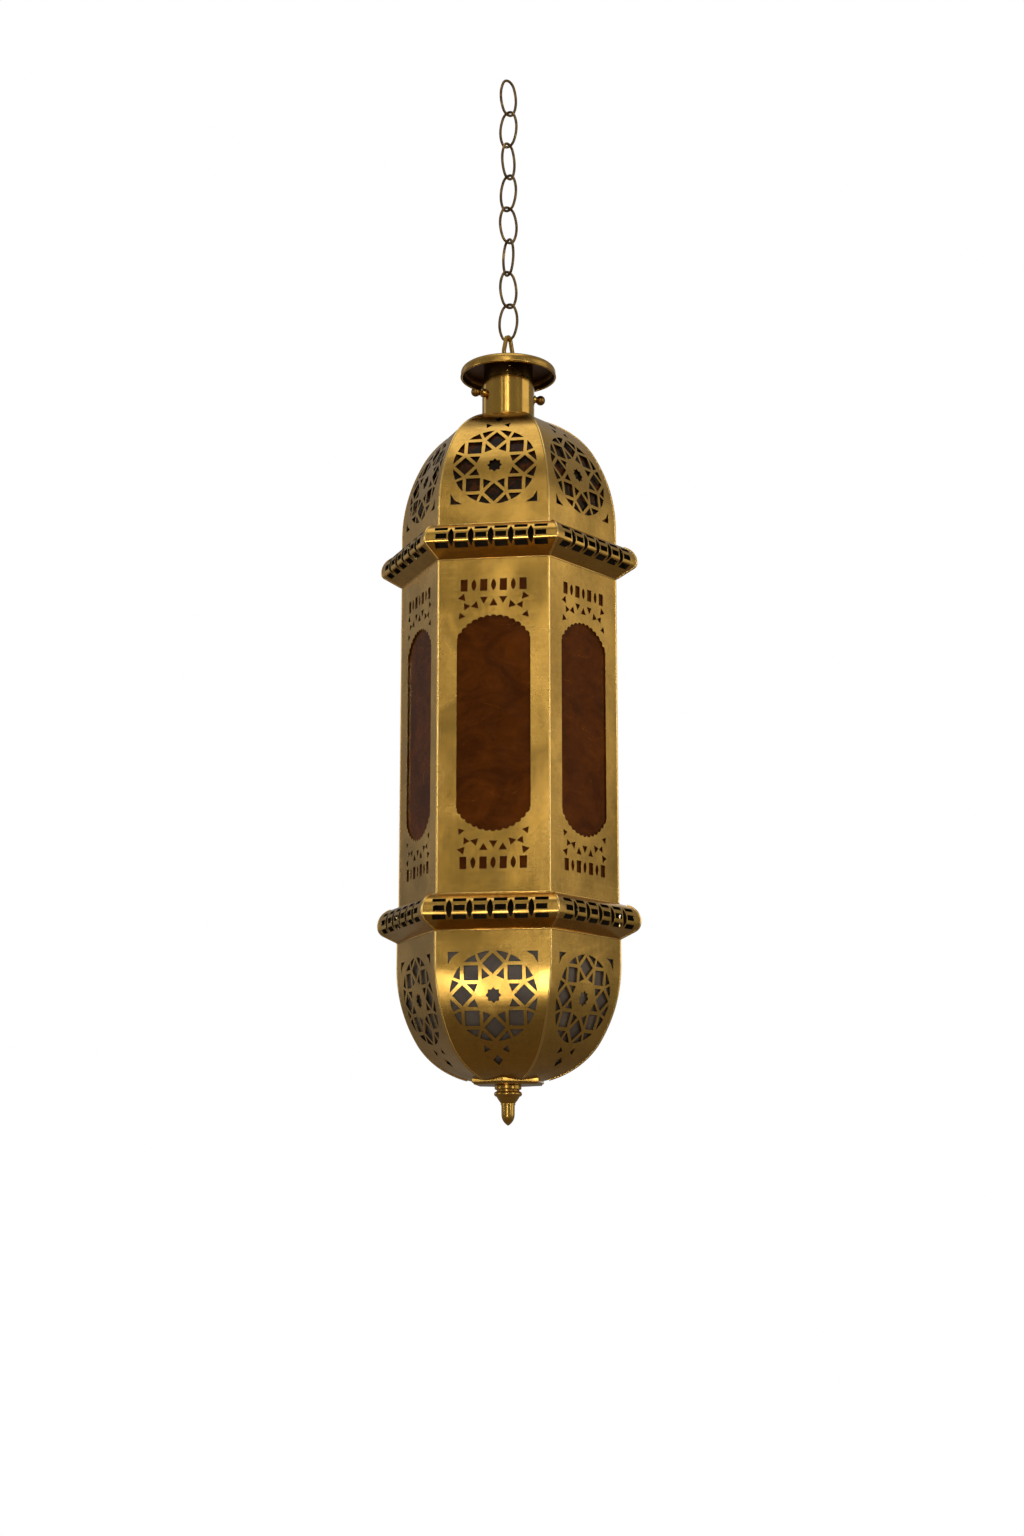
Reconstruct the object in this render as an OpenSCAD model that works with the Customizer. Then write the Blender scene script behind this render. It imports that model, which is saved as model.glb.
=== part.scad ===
// Hexagonal pierced-brass lantern on a link chain, with amber panes and a tubular lamp.
// Millimetres. +Z is up, the front panel faces -Y, and the origin is where the top link bears on its support.

/* [Body] */
// Distance from the axis to a vertical corner of the body
body_r = 102; // [95:0.5:108]
// Height of the six flat panels
body_h = 306; // [290:1:330]
// Thickness of the brass sheet
sheet = 1; // [0.8:0.1:1.4]

/* [Windows] */
// Width of each arched window
window_w = 67; // [58:1:72]
// Height of the straight part of a window's sides
window_side_h = 156; // [130:1:170]
// Radius of the arch at either end of a window
arch_r = 38; // [36:0.5:42]
// Number of lobes along each arch
arch_lobes = 13; // [9:2:15]

/* [Domes] */
// Straight height of the upper dome above its base
upper_straight_h = 16.8; // [10:0.2:24]
// Radius of the upper dome's shoulder
upper_side_r = 160; // [150:1:175]
// Radius of the upper dome's crown
upper_crown_r = 78; // [74:1:84]
// Straight height of the lower dome below its base
lower_straight_h = 24; // [18:0.5:28]
// Radius of the lower dome's shoulder
lower_side_r = 150; // [145:1:165]
// Radius of the lower dome's crown
lower_crown_r = 68; // [66:1:74]
// Radius of the round rosette in each gore
rosette_r = 38.9; // [34:0.1:40]
// Width of the straps between a rosette's holes
strap_w = 3.1; // [2.4:0.1:3.6]

/* [Rings] */
// How far the two rings stand proud of the body
ring_proud = 17.3; // [14:0.1:20]
// Height of each ring
ring_h = 32.4; // [30:0.2:36]
// Distance from one column of slots to the next
slot_pitch = 18.2; // [17:0.1:19]

/* [Chain] */
// Outer height of a chain link
link_h = 38.9; // [34:0.1:44]
// Outer width of a chain link
link_w = 23.6; // [21:0.1:27]
// Thickness of the link wire
wire_d = 2.6; // [2:0.1:3.2]

/* [Cap and neck] */
// Radius of the dished cap
cap_r = 45.5; // [40:0.5:52]
// Outer radius of the neck tube
neck_r = 25; // [24:0.1:27]
// Outer radius of a thumb screw's knob
knob_r = 4.7; // [4:0.1:6]

/* [Lamp] */
// Radius of the tubular bulb
bulb_r = 15; // [12:0.5:17]
// Length of the bulb's glass
bulb_l = 160; // [120:1:180]

/* [Hidden] */
LINKS = ["chain_link_1", "chain_link_2", "chain_link_3", "chain_link_4",
    "chain_link_5", "chain_link_6", "chain_link_7", "chain_link_8"];
BODY_PANELS = ["body_panel_1", "body_panel_2", "body_panel_3",
    "body_panel_4", "body_panel_5", "body_panel_6"];
PANES = ["amber_pane_1", "amber_pane_2", "amber_pane_3",
    "amber_pane_4", "amber_pane_5", "amber_pane_6"];
UPPER_GORES = ["upper_gore_1", "upper_gore_2", "upper_gore_3",
    "upper_gore_4", "upper_gore_5", "upper_gore_6"];
LOWER_GORES = ["lower_gore_1", "lower_gore_2", "lower_gore_3",
    "lower_gore_4", "lower_gore_5", "lower_gore_6"];
$fn = 64;

// colours
bright_brass = [0.71, 0.56, 0.27];
worn_brass = [0.60, 0.46, 0.20];
dark_brass = [0.34, 0.26, 0.18];
amber = [0.35, 0.13, 0.02, 0.8];

// the hexagon
side_tan = tan(30);
wall_a = body_r * cos(30);          // from the axis to a panel's outer face
far = 200;                          // longer than any cut needs to be
seam = 0.02;                        // half the gap left at a soldered mitre
joint_step = 0.02;                  // where two bends join, the tip of one lies this far inside the other
joint_lap = 0.6;                    // and runs on into it by this angle

// chain: each link's top wire lies on the wire below it with a hair of play
wire_r = wire_d / 2;
link_play = 0.25;
link_a = link_h / 2 - wire_r;       // half height of the wire's centre line
link_b = link_w / 2 - wire_r;       // half width of it
link_end_r = 8;
link_side_r = (pow(link_a - link_end_r, 2) + pow(link_b, 2) - pow(link_end_r, 2))
    / (2 * (link_b - link_end_r));
link_split = atan2(link_a - link_end_r, link_side_r - link_b);
link_pitch = 2 * link_a - wire_d - link_play;
link_turn = [54, -33, 64, -37, 49, -54, 51, -27];
last_wire_z = wire_r - 7 * link_pitch - 2 * link_a;

// heights, worked down from the chain
loop_bar = 3.2;
loop_top_z = last_wire_z + wire_r + link_play + loop_bar;
cap_top_z = loop_top_z - 32;
cap_rim_z = cap_top_z - 11;
neck_top_z = cap_rim_z - 4.5;
body_z = cap_rim_z - 511;
body_top_z = body_z + body_h;
upper_base_z = body_top_z + ring_h;
lower_base_z = body_z - ring_h;

// domes: distance from the axis to the base of each, and the angle where shoulder meets crown
upper_a = wall_a;
lower_a = wall_a + 1.2;
upper_split = 26.6;
lower_split = 27;

// neck, sleeve and screws
neck_wall = 1.2;
neck_l = 48;
slip = 0.3;                         // clearance between sleeve and neck tube
sleeve_r = neck_r - neck_wall - slip;
sleeve_l = 44;
screw_z = neck_top_z - 14;
screw_turn = 29;
screw_r = 2;
screw_play = 0.05;
boss_l = 2.5;

// cord bush, nipple and holder
bush_y = 14;                        // how far behind the axis the bush stands
bush_r = 3.5;
nipple_r = 5;
nipple_l = 40;
holder_z = cap_top_z - 46;          // top of the lampholder's cup
holder_r = 19;
cap_thread_r = 13;                  // radius of the bulb's screw cap
bulb_z = holder_z - 27;             // top of the bulb's screw cap

// panes
pane_t = 3;
pane_gap = 0.6;
pane_a = wall_a - sheet - pane_gap; // outer face of a pane
pane_w = 84;
pane_h = 276;
pattern_mid = body_h / 2 + 1;       // centre height of the piercing above the body's lower edge
fret_off = 127;                     // from there to the middle of a row of fret holes

// base plate
plate_a = 30.5;
plate_h = 5.5;
plate_z = lower_base_z - 125.3;     // top of the plate
stud_r = 3;

// ---- helpers -------------------------------------------------------------

// turns something built on the front side to side k of the hexagon
module side(k) rotate([0, 0, 60 * k]) children();

// the 60-degree sector of the front side, between heights z0 and z1
module sector(z0, z1) {
    reach = far * side_tan - seam;
    translate([0, 0, z0])
        linear_extrude(z1 - z0)
            polygon([[0, -seam / side_tan], [-reach, -far], [reach, -far]]);
}

// sweeps a profile drawn as (distance from axis, height) along the front side
module along_side() rotate([90, 0, -90]) linear_extrude(2 * far, center = true) children();

// pushes an outline drawn as (sideways, height) outwards from a0 to a1
module outwards(a0, a1) translate([0, -a0, 0]) rotate([90, 0, 0]) linear_extrude(a1 - a0) children();

// a lens with two pointed ends
module lens(w, h) {
    r = (w * w + h * h) / (4 * w);
    intersection() {
        translate([r - w / 2, 0]) circle(r);
        translate([w / 2 - r, 0]) circle(r);
    }
}

// a bent strip: the part of a ring of the given radius between two angles, thinned on both faces
module arc_strip(centre, r, t, from, to, thinned = 0) {
    reach = 2 * r;
    mid = (from + to) / 2;
    translate(centre) intersection() {
        difference() {
            circle(r - thinned);
            circle(r - t + thinned);
        }
        polygon([[0, 0], reach * [cos(from), sin(from)],
            reach * [cos(mid), sin(mid)], reach * [cos(to), sin(to)]]);
    }
}

// a triangular chisel hole of circumradius r, with one corner turned to the given angle
module chisel_hole(pos, r, turn) translate(pos) rotate(turn) circle(r, $fn = 3);

// ---- piercing ------------------------------------------------------------

// straight-sided strap around one of the rosette's eight squares
module square_strap(half) {
    w = half * sqrt(2);
    rotate(45) difference() {
        square(w + strap_w, center = true);
        square(w - strap_w, center = true);
    }
}

module star(points, r_out, r_in)
    polygon([for (i = [0 : 2 * points - 1])
        (i % 2 == 0 ? r_out : r_in) * [cos(180 * i / points), sin(180 * i / points)]]);

// eightfold rosette: squares round a hub, a star at the centre, small triangles at the rim
module rosette_holes() {
    ring = rosette_r / sqrt(2);
    half = ring * (sqrt(2) - 1);
    hub = 0.46 * rosette_r;
    difference() {
        polygon([for (i = [0 : 31]) rosette_r * [cos(11.25 * i), sin(11.25 * i)]]);
        for (k = [0 : 7]) {
            rotate(45 * k) translate([ring, 0]) square_strap(half);
            rotate(45 * k + 22.5) translate([ring, -0.4 * strap_w]) square([ring, 0.8 * strap_w]);
        }
        circle(hub, $fn = 8);
    }
    star(8, 0.18 * rosette_r, 0.135 * rosette_r);
}

// all the holes of one gore, with the height measured from the dome's base
module gore_holes() {
    translate([0, 1.48 * rosette_r]) rosette_holes();
    for (s = [-1, 1]) {
        polygon([[s * 40, 19.5], [s * 29.5, 19.5], [s * 36.5, 24], [s * 40, 30.5]]);
        chisel_hole([s * 9, 103], 3.6, 90 - s * 35);
    }
    translate([0, 112]) rotate(45) square(6, center = true);
}

// window outline: straight sides with a lobed arch at either end
module window_outline() {
    rise_c = window_side_h / 2 - sqrt(pow(arch_r, 2) - pow(window_w / 2, 2)) + 0.6;
    spread = 2 * asin(window_w / 2 / arch_r);
    lobe_r = 3.5;
    lobe_in = 3;                    // how far the lobes' centres lie inside the arch
    square([window_w, window_side_h], center = true);
    for (s = [0, 1]) mirror([0, s]) translate([0, rise_c]) {
        intersection() {
            circle(arch_r - 2);
            translate([-window_w / 2, 0]) square([window_w, arch_r]);
        }
        for (i = [0 : arch_lobes - 1])
            rotate(spread * ((i + 0.5) / arch_lobes - 0.5)) translate([0, arch_r - lobe_in]) circle(lobe_r);
    }
}

// fret row and chisel holes above a window, measured from the middle of the panel
module fret_holes() {
    for (i = [-3 : 3]) translate([9 * i, fret_off])
        if (i % 2 == 0) lens(4.6, 10.5);
        else square([6.4, 11], center = true);
    chisel_hole([0, fret_off - 17.4], 4.4, 90);
    for (s = [-1, 1]) {
        chisel_hole([s * 28.4, fret_off - 11.4], 4.2, 90 + s * 20);
        chisel_hole([s * 8.8, fret_off - 13.4], 4.2, 270);
        chisel_hole([s * 16.6, fret_off - 19], 4.2, 90 + s * 15);
        chisel_hole([s * 24.8, fret_off - 19.6], 3.8, 270 + s * 25);
        chisel_hole([s * 29.6, fret_off - 28.6], 3.8, 90 - s * 20);
    }
}

// the slots and lenses along one side of a ring
module ring_holes() {
    for (i = [-2.5 : 1 : 2.5]) translate([i * slot_pitch, 0]) {
        translate([0, 8.4]) square([12, 3], center = true);
        translate([0, 1.2]) square([10.2, 5], center = true);
        translate([0, -6.6]) square([12, 3.8], center = true);
    }
    for (i = [-2 : 2]) translate([i * slot_pitch, 0.6]) lens(5.6, 16.4);
}

// ---- chain ---------------------------------------------------------------

// part of an oval's wire: a torus segment in the XZ plane, centred on the given angle
module wire_arc(x, z, r, mid, half, wire) translate([x, 0, z])
    rotate([90, 0, 0]) rotate([0, 0, mid - half])
        rotate_extrude(angle = 2 * half) translate([r, 0]) circle(wire);

// one oval link, numbered from the top
module chain_link(i) {
    centre_z = wire_r - link_a - i * link_pitch;
    color(dark_brass) translate([0, 0, centre_z]) rotate([0, 0, link_turn[i]]) {
        for (s = [-1, 1]) {
            wire_arc(0, s * (link_a - link_end_r), link_end_r, s * 90, 90 - link_split + joint_lap, wire_r);
            wire_arc(-s * (link_side_r - link_b), 0, link_side_r, s > 0 ? 0 : 180, link_split, wire_r - joint_step);
        }
    }
}

// ---- cap -----------------------------------------------------------------

// pear-shaped outline: a small circle above a large one, joined by their common tangents
module pear(top_r, low_r, gap) hull() {
    circle(low_r);
    translate([0, gap]) circle(top_r);
}

// cast loop with its screwed collar
module hanging_loop() {
    low_r = 9.3;
    top_r = 5.6;
    gap = 12.6;
    color(bright_brass) {
        translate([0, 0, loop_top_z - top_r - gap]) rotate([0, 0, 66])
            rotate([90, 0, 0]) linear_extrude(loop_bar, center = true) difference() {
                pear(top_r, low_r, gap);
                pear(top_r - loop_bar, low_r - loop_bar, gap);
            }
        collar_top = loop_top_z - top_r - gap - low_r + 1.4;
        translate([0, 0, cap_top_z]) difference() {
            cylinder(h = collar_top - cap_top_z, r = 7.5);
            translate([0, 0, -1]) cylinder(h = 4, r = nipple_r);
        }
    }
}

// shallow dish with a rolled rim
module cap_disc() {
    t = 1.2;
    roll = 5;
    crown_z = 9.4;                  // top of the dish where its rim begins to roll over
    flat_r = 18;
    cap_h = cap_top_z - cap_rim_z;
    color(worn_brass) difference() {
        translate([0, 0, cap_rim_z]) union() {
            rotate_extrude() polygon([[0, cap_h], [flat_r, cap_h], [cap_r - roll + 0.5, crown_z],
                [cap_r - roll + 0.5, crown_z - t], [flat_r, cap_h - t], [0, cap_h - t]]);
            rotate_extrude() arc_strip([cap_r - roll, crown_z - roll], roll, t, -3, 90, joint_step);
            difference() {
                cylinder(h = crown_z - roll, r = cap_r);
                translate([0, 0, -1]) cylinder(h = crown_z, r = cap_r - t);
            }
            rotate_extrude() translate([cap_r - t / 2, 0.6]) circle(1.1);
        }
        translate([0, 0, cap_top_z - 2]) cylinder(h = 4, r = nipple_r);
        translate([0, bush_y, cap_top_z - 2]) cylinder(h = 4, r = bush_r);
    }
}

// the collar that the neck tube slips over, with a flat ring soldered under the cap
module cap_sleeve() {
    top = cap_top_z - 1.6;          // the dish's underside at the sleeve's outer edge
    color(worn_brass) translate([0, 0, top - sleeve_l]) difference() {
        cylinder(h = sleeve_l, r = sleeve_r);
        translate([0, 0, -1]) cylinder(h = sleeve_l + 2, r = sleeve_r - 1.2);
    }
}

// insulating bush that lines the cord's hole in the cap
module wire_bush() {
    color([0.12, 0.1, 0.09]) translate([0, bush_y, cap_top_z]) difference() {
        union() {
            translate([0, 0, -2.4]) cylinder(h = 3.4, r = bush_r);
            cylinder(h = 1.4, r = 5);
            translate([0, 0, -2.6]) cylinder(h = 1.4, r = 4.4);
        }
        translate([0, 0, -4]) cylinder(h = 8, r = 2.4);
    }
}

module threaded_nipple() {
    color(bright_brass) translate([0, 0, cap_top_z + 3 - nipple_l - 9]) difference() {
        cylinder(h = nipple_l + 9, r = nipple_r);
        translate([0, 0, -1]) cylinder(h = nipple_l + 11, r = nipple_r - 1.4);
    }
}

module cap_nut() {
    color(worn_brass) translate([0, 0, cap_top_z - 1.2 - 4]) difference() {
        cylinder(h = 4, r = 8.5, $fn = 6);
        translate([0, 0, -1]) cylinder(h = 6, r = nipple_r);
    }
}

// ---- lampholder and bulb -------------------------------------------------

module lampholder_cup() {
    color(worn_brass) translate([0, 0, holder_z]) difference() {
        rotate_extrude() polygon([[0, 0], [12, 0], [holder_r, -9], [holder_r, -20], [holder_r - 1, -20],
            [holder_r - 1, -9.5], [11.6, -1.2], [0, -1.2]]);
        translate([0, 0, -3]) cylinder(h = 6, r = nipple_r);
    }
}

module lampholder_shell() {
    color(worn_brass) translate([0, 0, holder_z - 56]) difference() {
        union() {
            cylinder(h = 36, r = holder_r);
            translate([0, 0, 2]) cylinder(h = 2, r = holder_r + 1);
        }
        translate([0, 0, -1]) cylinder(h = 38, r = holder_r - 1);
    }
}

// porcelain core with the well for the bulb's screw cap
module lampholder_core() {
    color([0.9, 0.88, 0.82]) translate([0, 0, holder_z - 54]) difference() {
        cylinder(h = 38, r = holder_r - 1.1);
        translate([0, 0, -1]) cylinder(h = 29.6, r = cap_thread_r + 1.2);
        translate([0, 0, 34]) cylinder(h = 5, r = 6);
    }
}

// threaded liner and the sprung centre tongue
module lampholder_contacts() {
    color(bright_brass) {
        translate([0, 0, holder_z - 52]) difference() {
            cylinder(h = 24, r = cap_thread_r + 1.2);
            translate([0, 0, -1]) cylinder(h = 26, r = cap_thread_r + 0.6);
        }
        translate([-3, -1, holder_z - 25.9]) cube([11, 2, 0.5]);
    }
}

module bulb_cap() {
    color([0.75, 0.74, 0.7]) translate([0, 0, bulb_z]) difference() {
        rotate_extrude() polygon([[0, 0], [4.5, 0], [5, -1.6], [11.6, -4], [cap_thread_r, -6],
            [cap_thread_r, -26], [0, -26]]);
        translate([0, 0, -27]) cylinder(h = 20, r = 12.2);
    }
}

// the bulb's form, inset by the thickness of its glass, with its shoulder just below z = 0
module bulb_form(inset) {
    r = bulb_r - inset;
    neck = 12 - inset;
    tip = bulb_r - bulb_l;
    steps = 16;
    rotate_extrude() polygon(concat([[0, 16], [neck, 16], [neck, -8], [r, -14]],
        [for (i = [0 : steps]) [r * cos(90 * i / steps), tip - r * sin(90 * i / steps)]]));
}

module bulb_glass() {
    color([0.95, 0.95, 0.9, 0.35]) translate([0, 0, bulb_z - 26]) difference() {
        bulb_form(0);
        bulb_form(0.9);
        translate([0, 0, 15.5]) cylinder(h = 2, r = bulb_r);
    }
}

// glass stem with four upright filaments round it
module bulb_filament() {
    color([0.95, 0.7, 0.3]) translate([0, 0, bulb_z - 26]) {
        translate([0, 0, -22]) cylinder(h = 36, r = 3);
        translate([0, 0, -bulb_l + 34]) cylinder(h = bulb_l - 55, r = 0.8);
        for (k = [0 : 3]) rotate([0, 0, 90 * k + 45]) {
            translate([6, 0, -bulb_l + 36]) cylinder(h = bulb_l - 62, r = 0.9);
            for (z = [-bulb_l + 36, -26.8]) translate([0, -0.4, z]) cube([6, 0.8, 0.8]);
        }
    }
}

// ---- neck ----------------------------------------------------------------

module screw_axis(k) translate([0, 0, screw_z]) rotate([0, 0, screw_turn + 180 * k]) rotate([0, 90, 0]) children();

module neck_tube() {
    color(bright_brass) difference() {
        translate([0, 0, neck_top_z - neck_l]) cylinder(h = neck_l, r = neck_r);
        translate([0, 0, neck_top_z - neck_l - 1]) cylinder(h = neck_l + 2, r = neck_r - neck_wall);
        for (k = [0, 1]) screw_axis(k) cylinder(h = far, r = screw_r + screw_play);
    }
}

// tapped bosses soldered to the neck tube for the screws
module screw_bosses() {
    color(worn_brass) difference() {
        for (k = [0, 1]) screw_axis(k) cylinder(h = neck_r + boss_l, r = 4.2);
        translate([0, 0, screw_z - 10]) cylinder(h = 20, r = neck_r);
        for (k = [0, 1]) screw_axis(k) cylinder(h = far, r = screw_r + screw_play);
    }
}

// round-headed thumb screw whose tip bears on the sleeve
module thumb_screw(k) {
    tip = sleeve_r + 0.2;
    head = neck_r + boss_l + 1.2;
    color(dark_brass) screw_axis(k) rotate_extrude() {
        polygon([[0, tip], [screw_r, tip], [screw_r, head], [knob_r - 1, head], [knob_r, head + 1],
            [knob_r, head + 6], [0, head + 6]]);
        translate([0, head + 6]) intersection() {
            circle(knob_r);
            square([knob_r, 3]);
        }
    }
}

// ---- domes ---------------------------------------------------------------

// sheet of one gore above z = 0, drawn as (distance from axis, height)
module gore_profile(a, straight, side_r, crown_r, split, t) {
    side_c = [a - side_r, straight];
    crown_c = side_c + (side_r - crown_r) * [cos(split), sin(split)];
    translate([a - t, 0]) square([t, straight]);
    arc_strip(side_c, side_r, t, -joint_lap / 2, split, joint_step);
    arc_strip(crown_c, crown_r, t, split - joint_lap, 84);
}

module upper_gore(k) {
    color(worn_brass) side(k) translate([0, 0, upper_base_z]) difference() {
        intersection() {
            along_side() gore_profile(upper_a, upper_straight_h, upper_side_r, upper_crown_r, upper_split, sheet);
            sector(0, far);
        }
        outwards(20, far) gore_holes();
        cylinder(h = far, r = neck_r);
    }
}

// lower gores hang from their base, so they are drawn upwards and turned over
module lower_gore(k) {
    color(worn_brass) side(k) translate([0, 0, lower_base_z]) mirror([0, 0, 1]) difference() {
        intersection() {
            along_side() gore_profile(lower_a, lower_straight_h, lower_side_r, lower_crown_r, lower_split, sheet);
            sector(0, far);
        }
        outwards(20, far) gore_holes();
        rotate([0, 0, 30]) cylinder(h = far, r = plate_a / cos(30), $fn = 6);
    }
}

// six sheets that line a dome just inside its gores, from 8 above its base to the hole round the axis
module dome_liner(a, straight, side_r, crown_r, split) {
    t = 1.5;
    inset = sheet + 1.5;
    hole_a = 34;
    for (k = [0 : 5]) side(k) difference() {
        intersection() {
            along_side() gore_profile(a - inset, straight, side_r - inset, crown_r - inset, split, t);
            sector(8, far);
        }
        rotate([0, 0, 30]) cylinder(h = far, r = hole_a / cos(30), $fn = 6);
    }
}

// dark glass behind the piercing of the upper dome
module upper_liner() color(amber) translate([0, 0, upper_base_z])
    dome_liner(upper_a, upper_straight_h, upper_side_r, upper_crown_r, upper_split);

// frosted glass behind the piercing of the lower dome
module lower_diffuser() color([0.8, 0.76, 0.7, 0.5]) translate([0, 0, lower_base_z]) mirror([0, 0, 1])
    dome_liner(lower_a, lower_straight_h, lower_side_r, lower_crown_r, lower_split);

// ---- rings ---------------------------------------------------------------

// region inside a ring's moulding, inset by the given thickness: a domed shoulder above a sloping underside
module ring_region(in_a, low_r, inset) {
    out_a = wall_a + ring_proud;
    shoulder_r = 15;
    top_c = [out_a - shoulder_r, 0];
    low_c = [out_a - low_r, -1.5];
    top_r = shoulder_r - inset;
    low_arc_r = low_r - inset;
    top_at = 75;
    low_at = low_r > 7 ? -60 : -55;
    top_p = top_c + top_r * [cos(top_at), sin(top_at)];
    low_p = low_c + low_arc_r * [cos(low_at), sin(low_at)];
    top_end = [in_a, top_p.y + (top_p.x - in_a) * cos(top_at) / sin(top_at)];
    low_end = [in_a, low_p.y + (low_p.x - in_a) * cos(low_at) / sin(low_at)];
    polygon([top_end, top_p, top_c + [top_r, 0], low_c + [low_arc_r, 0], low_p, low_end]);
    translate(top_c) intersection() {
        circle(top_r);
        square(far);
    }
    translate(low_c) intersection() {
        circle(low_arc_r);
        translate([0, -far]) square(far);
    }
}

// one ring, made of six mitred lengths, each closed behind by a band whose edges lap inside the sheet
module ring(mid_z, low_r, top_wall, low_wall) {
    lap = 1;
    lip = 6.3;                      // how far the band reaches past the ring
    root = 1.7;                     // how far the upper strip reaches down into it
    shell_t = 1.2;
    top_a = top_wall - sheet - seam - lap;
    low_a = low_wall - sheet - seam - lap;
    in_a = min(top_a, low_a);
    for (k = [0 : 5]) side(k) translate([0, 0, mid_z]) difference() {
        intersection() {
            along_side() {
                difference() {
                    ring_region(in_a, low_r, 0);
                    translate([-0.01, 0]) ring_region(in_a, low_r, shell_t);
                }
                translate([top_a, ring_h / 2 - root]) square([lap, lip + root]);
                translate([low_a, -ring_h / 2 - lip]) square([lap, ring_h + lip]);
            }
            sector(-40, 40);
        }
        along_side() {
            translate([top_a + lap, ring_h / 2]) square(far);
            translate([low_a + lap, -ring_h / 2 - far]) square(far);
        }
        outwards(wall_a + 9, far) ring_holes();
    }
}

module upper_ring() color(worn_brass) ring(body_top_z + ring_h / 2, 5, upper_a, wall_a);

module lower_ring() color(worn_brass) ring(body_z - ring_h / 2, 9, wall_a, lower_a);

// ---- body ----------------------------------------------------------------

module body_panel(k) {
    color(worn_brass) side(k) translate([0, 0, body_z]) difference() {
        intersection() {
            translate([-far, -wall_a, 0]) cube([2 * far, sheet, body_h]);
            sector(0, body_h);
        }
        translate([0, 0, pattern_mid]) outwards(wall_a - 3, far) {
            window_outline();
            for (s = [0, 1]) mirror([0, s]) fret_holes();
        }
    }
}

module amber_pane(k) {
    color(amber) side(k) translate([-pane_w / 2, -pane_a, body_z + pattern_mid - pane_h / 2])
        cube([pane_w, pane_t, pane_h]);
}

// bent tabs soldered beside each pane to hold it
module pane_clips() {
    tab_h = 10;
    back = pane_a - pane_t;
    color(dark_brass) for (k = [0 : 5]) side(k) for (s = [0, 1]) mirror([s, 0, 0])
        for (z = [24, 110, 196, 272]) translate([0, 0, body_z + z]) {
            translate([pane_w / 2 + 0.1, -wall_a + sheet, 0]) cube([1, wall_a - sheet - back + 0.8, tab_h]);
            translate([pane_w / 2 - 5, -back, 0]) cube([6.1, 0.8, tab_h]);
        }
}

// ---- base ----------------------------------------------------------------

module base_plate() {
    color(worn_brass) translate([0, 0, plate_z]) rotate([0, 0, 30]) difference() {
        union() {
            translate([0, 0, -4]) cylinder(h = 4, r = plate_a / cos(30), $fn = 6);
            translate([0, 0, -plate_h]) cylinder(h = plate_h, r = (plate_a - 1.5) / cos(30), $fn = 6);
        }
        translate([0, 0, -far / 2]) cylinder(h = far, r = stud_r);
    }
}

// turned drop with its threaded stud
module finial() {
    flange_r = 2.3;
    flange_c = [10.4, -7.9];
    tip_r = 10.98;
    tip_c = [-5, -26.4];
    tip_turn = acos(-tip_c.x / tip_r);
    steps = 12;
    collar = [[0, plate_h + 7], [stud_r, plate_h + 7], [stud_r, 0], [12.2, 0], [12.2, -3.8], [10.6, -4.2]];
    flange = [for (i = [0 : steps]) flange_c + flange_r * [cos(84 - 144 * i / steps), sin(84 - 144 * i / steps)]];
    cone = [[10.6, -10.9], [6.4, -16.6], [6, -17], [6, -26.2]];
    tip = [for (i = [0 : steps]) tip_c + tip_r * [cos(tip_turn * i / steps), -sin(tip_turn * i / steps)]];
    color(bright_brass) translate([0, 0, plate_z - plate_h]) rotate_extrude()
        polygon(concat(collar, flange, cone, tip));
}

module finial_nut() {
    color(worn_brass) translate([0, 0, plate_z]) difference() {
        cylinder(h = 5, r = 6.5, $fn = 6);
        translate([0, 0, -1]) cylinder(h = 8, r = stud_r);
    }
}

for (i = [0 : 7]) chain_link(i);
hanging_loop();
cap_disc();
cap_sleeve();
wire_bush();
threaded_nipple();
cap_nut();
lampholder_cup();
lampholder_shell();
lampholder_core();
lampholder_contacts();
bulb_cap();
bulb_glass();
bulb_filament();
neck_tube();
screw_bosses();
thumb_screw(0);  // thumb_screw_1
thumb_screw(1);  // thumb_screw_2
for (k = [0 : 5]) upper_gore(k);
upper_liner();
upper_ring();
for (k = [0 : 5]) body_panel(k);
for (k = [0 : 5]) amber_pane(k);
pane_clips();
lower_ring();
for (k = [0 : 5]) lower_gore(k);
lower_diffuser();
base_plate();
finial();
finial_nut();
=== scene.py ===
import math

import bpy
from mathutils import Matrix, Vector


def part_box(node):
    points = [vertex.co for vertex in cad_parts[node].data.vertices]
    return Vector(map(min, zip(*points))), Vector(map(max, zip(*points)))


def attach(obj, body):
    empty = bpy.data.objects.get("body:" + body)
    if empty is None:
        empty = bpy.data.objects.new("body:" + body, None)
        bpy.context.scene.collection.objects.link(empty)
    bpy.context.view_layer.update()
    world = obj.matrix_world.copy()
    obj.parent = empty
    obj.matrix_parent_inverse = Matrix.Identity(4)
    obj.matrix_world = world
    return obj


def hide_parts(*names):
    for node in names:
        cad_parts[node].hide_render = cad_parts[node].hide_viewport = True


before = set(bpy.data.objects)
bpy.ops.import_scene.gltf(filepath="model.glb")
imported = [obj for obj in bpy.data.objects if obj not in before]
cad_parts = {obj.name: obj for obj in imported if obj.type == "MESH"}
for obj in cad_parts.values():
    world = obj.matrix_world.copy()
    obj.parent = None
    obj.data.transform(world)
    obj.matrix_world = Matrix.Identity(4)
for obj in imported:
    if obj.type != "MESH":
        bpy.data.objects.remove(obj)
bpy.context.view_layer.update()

bl_info = {
    "name": "Hanging lantern",
    "version": (1, 0, 0),
    "blender": (4, 5, 0),
    "location": "View3D > Sidebar > Lantern",
    "description": "Pierced brass lantern on a chain, finished round its packed frame",
    "category": "Object",
}

# ---- sizes taken from the frame, in metres

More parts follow.
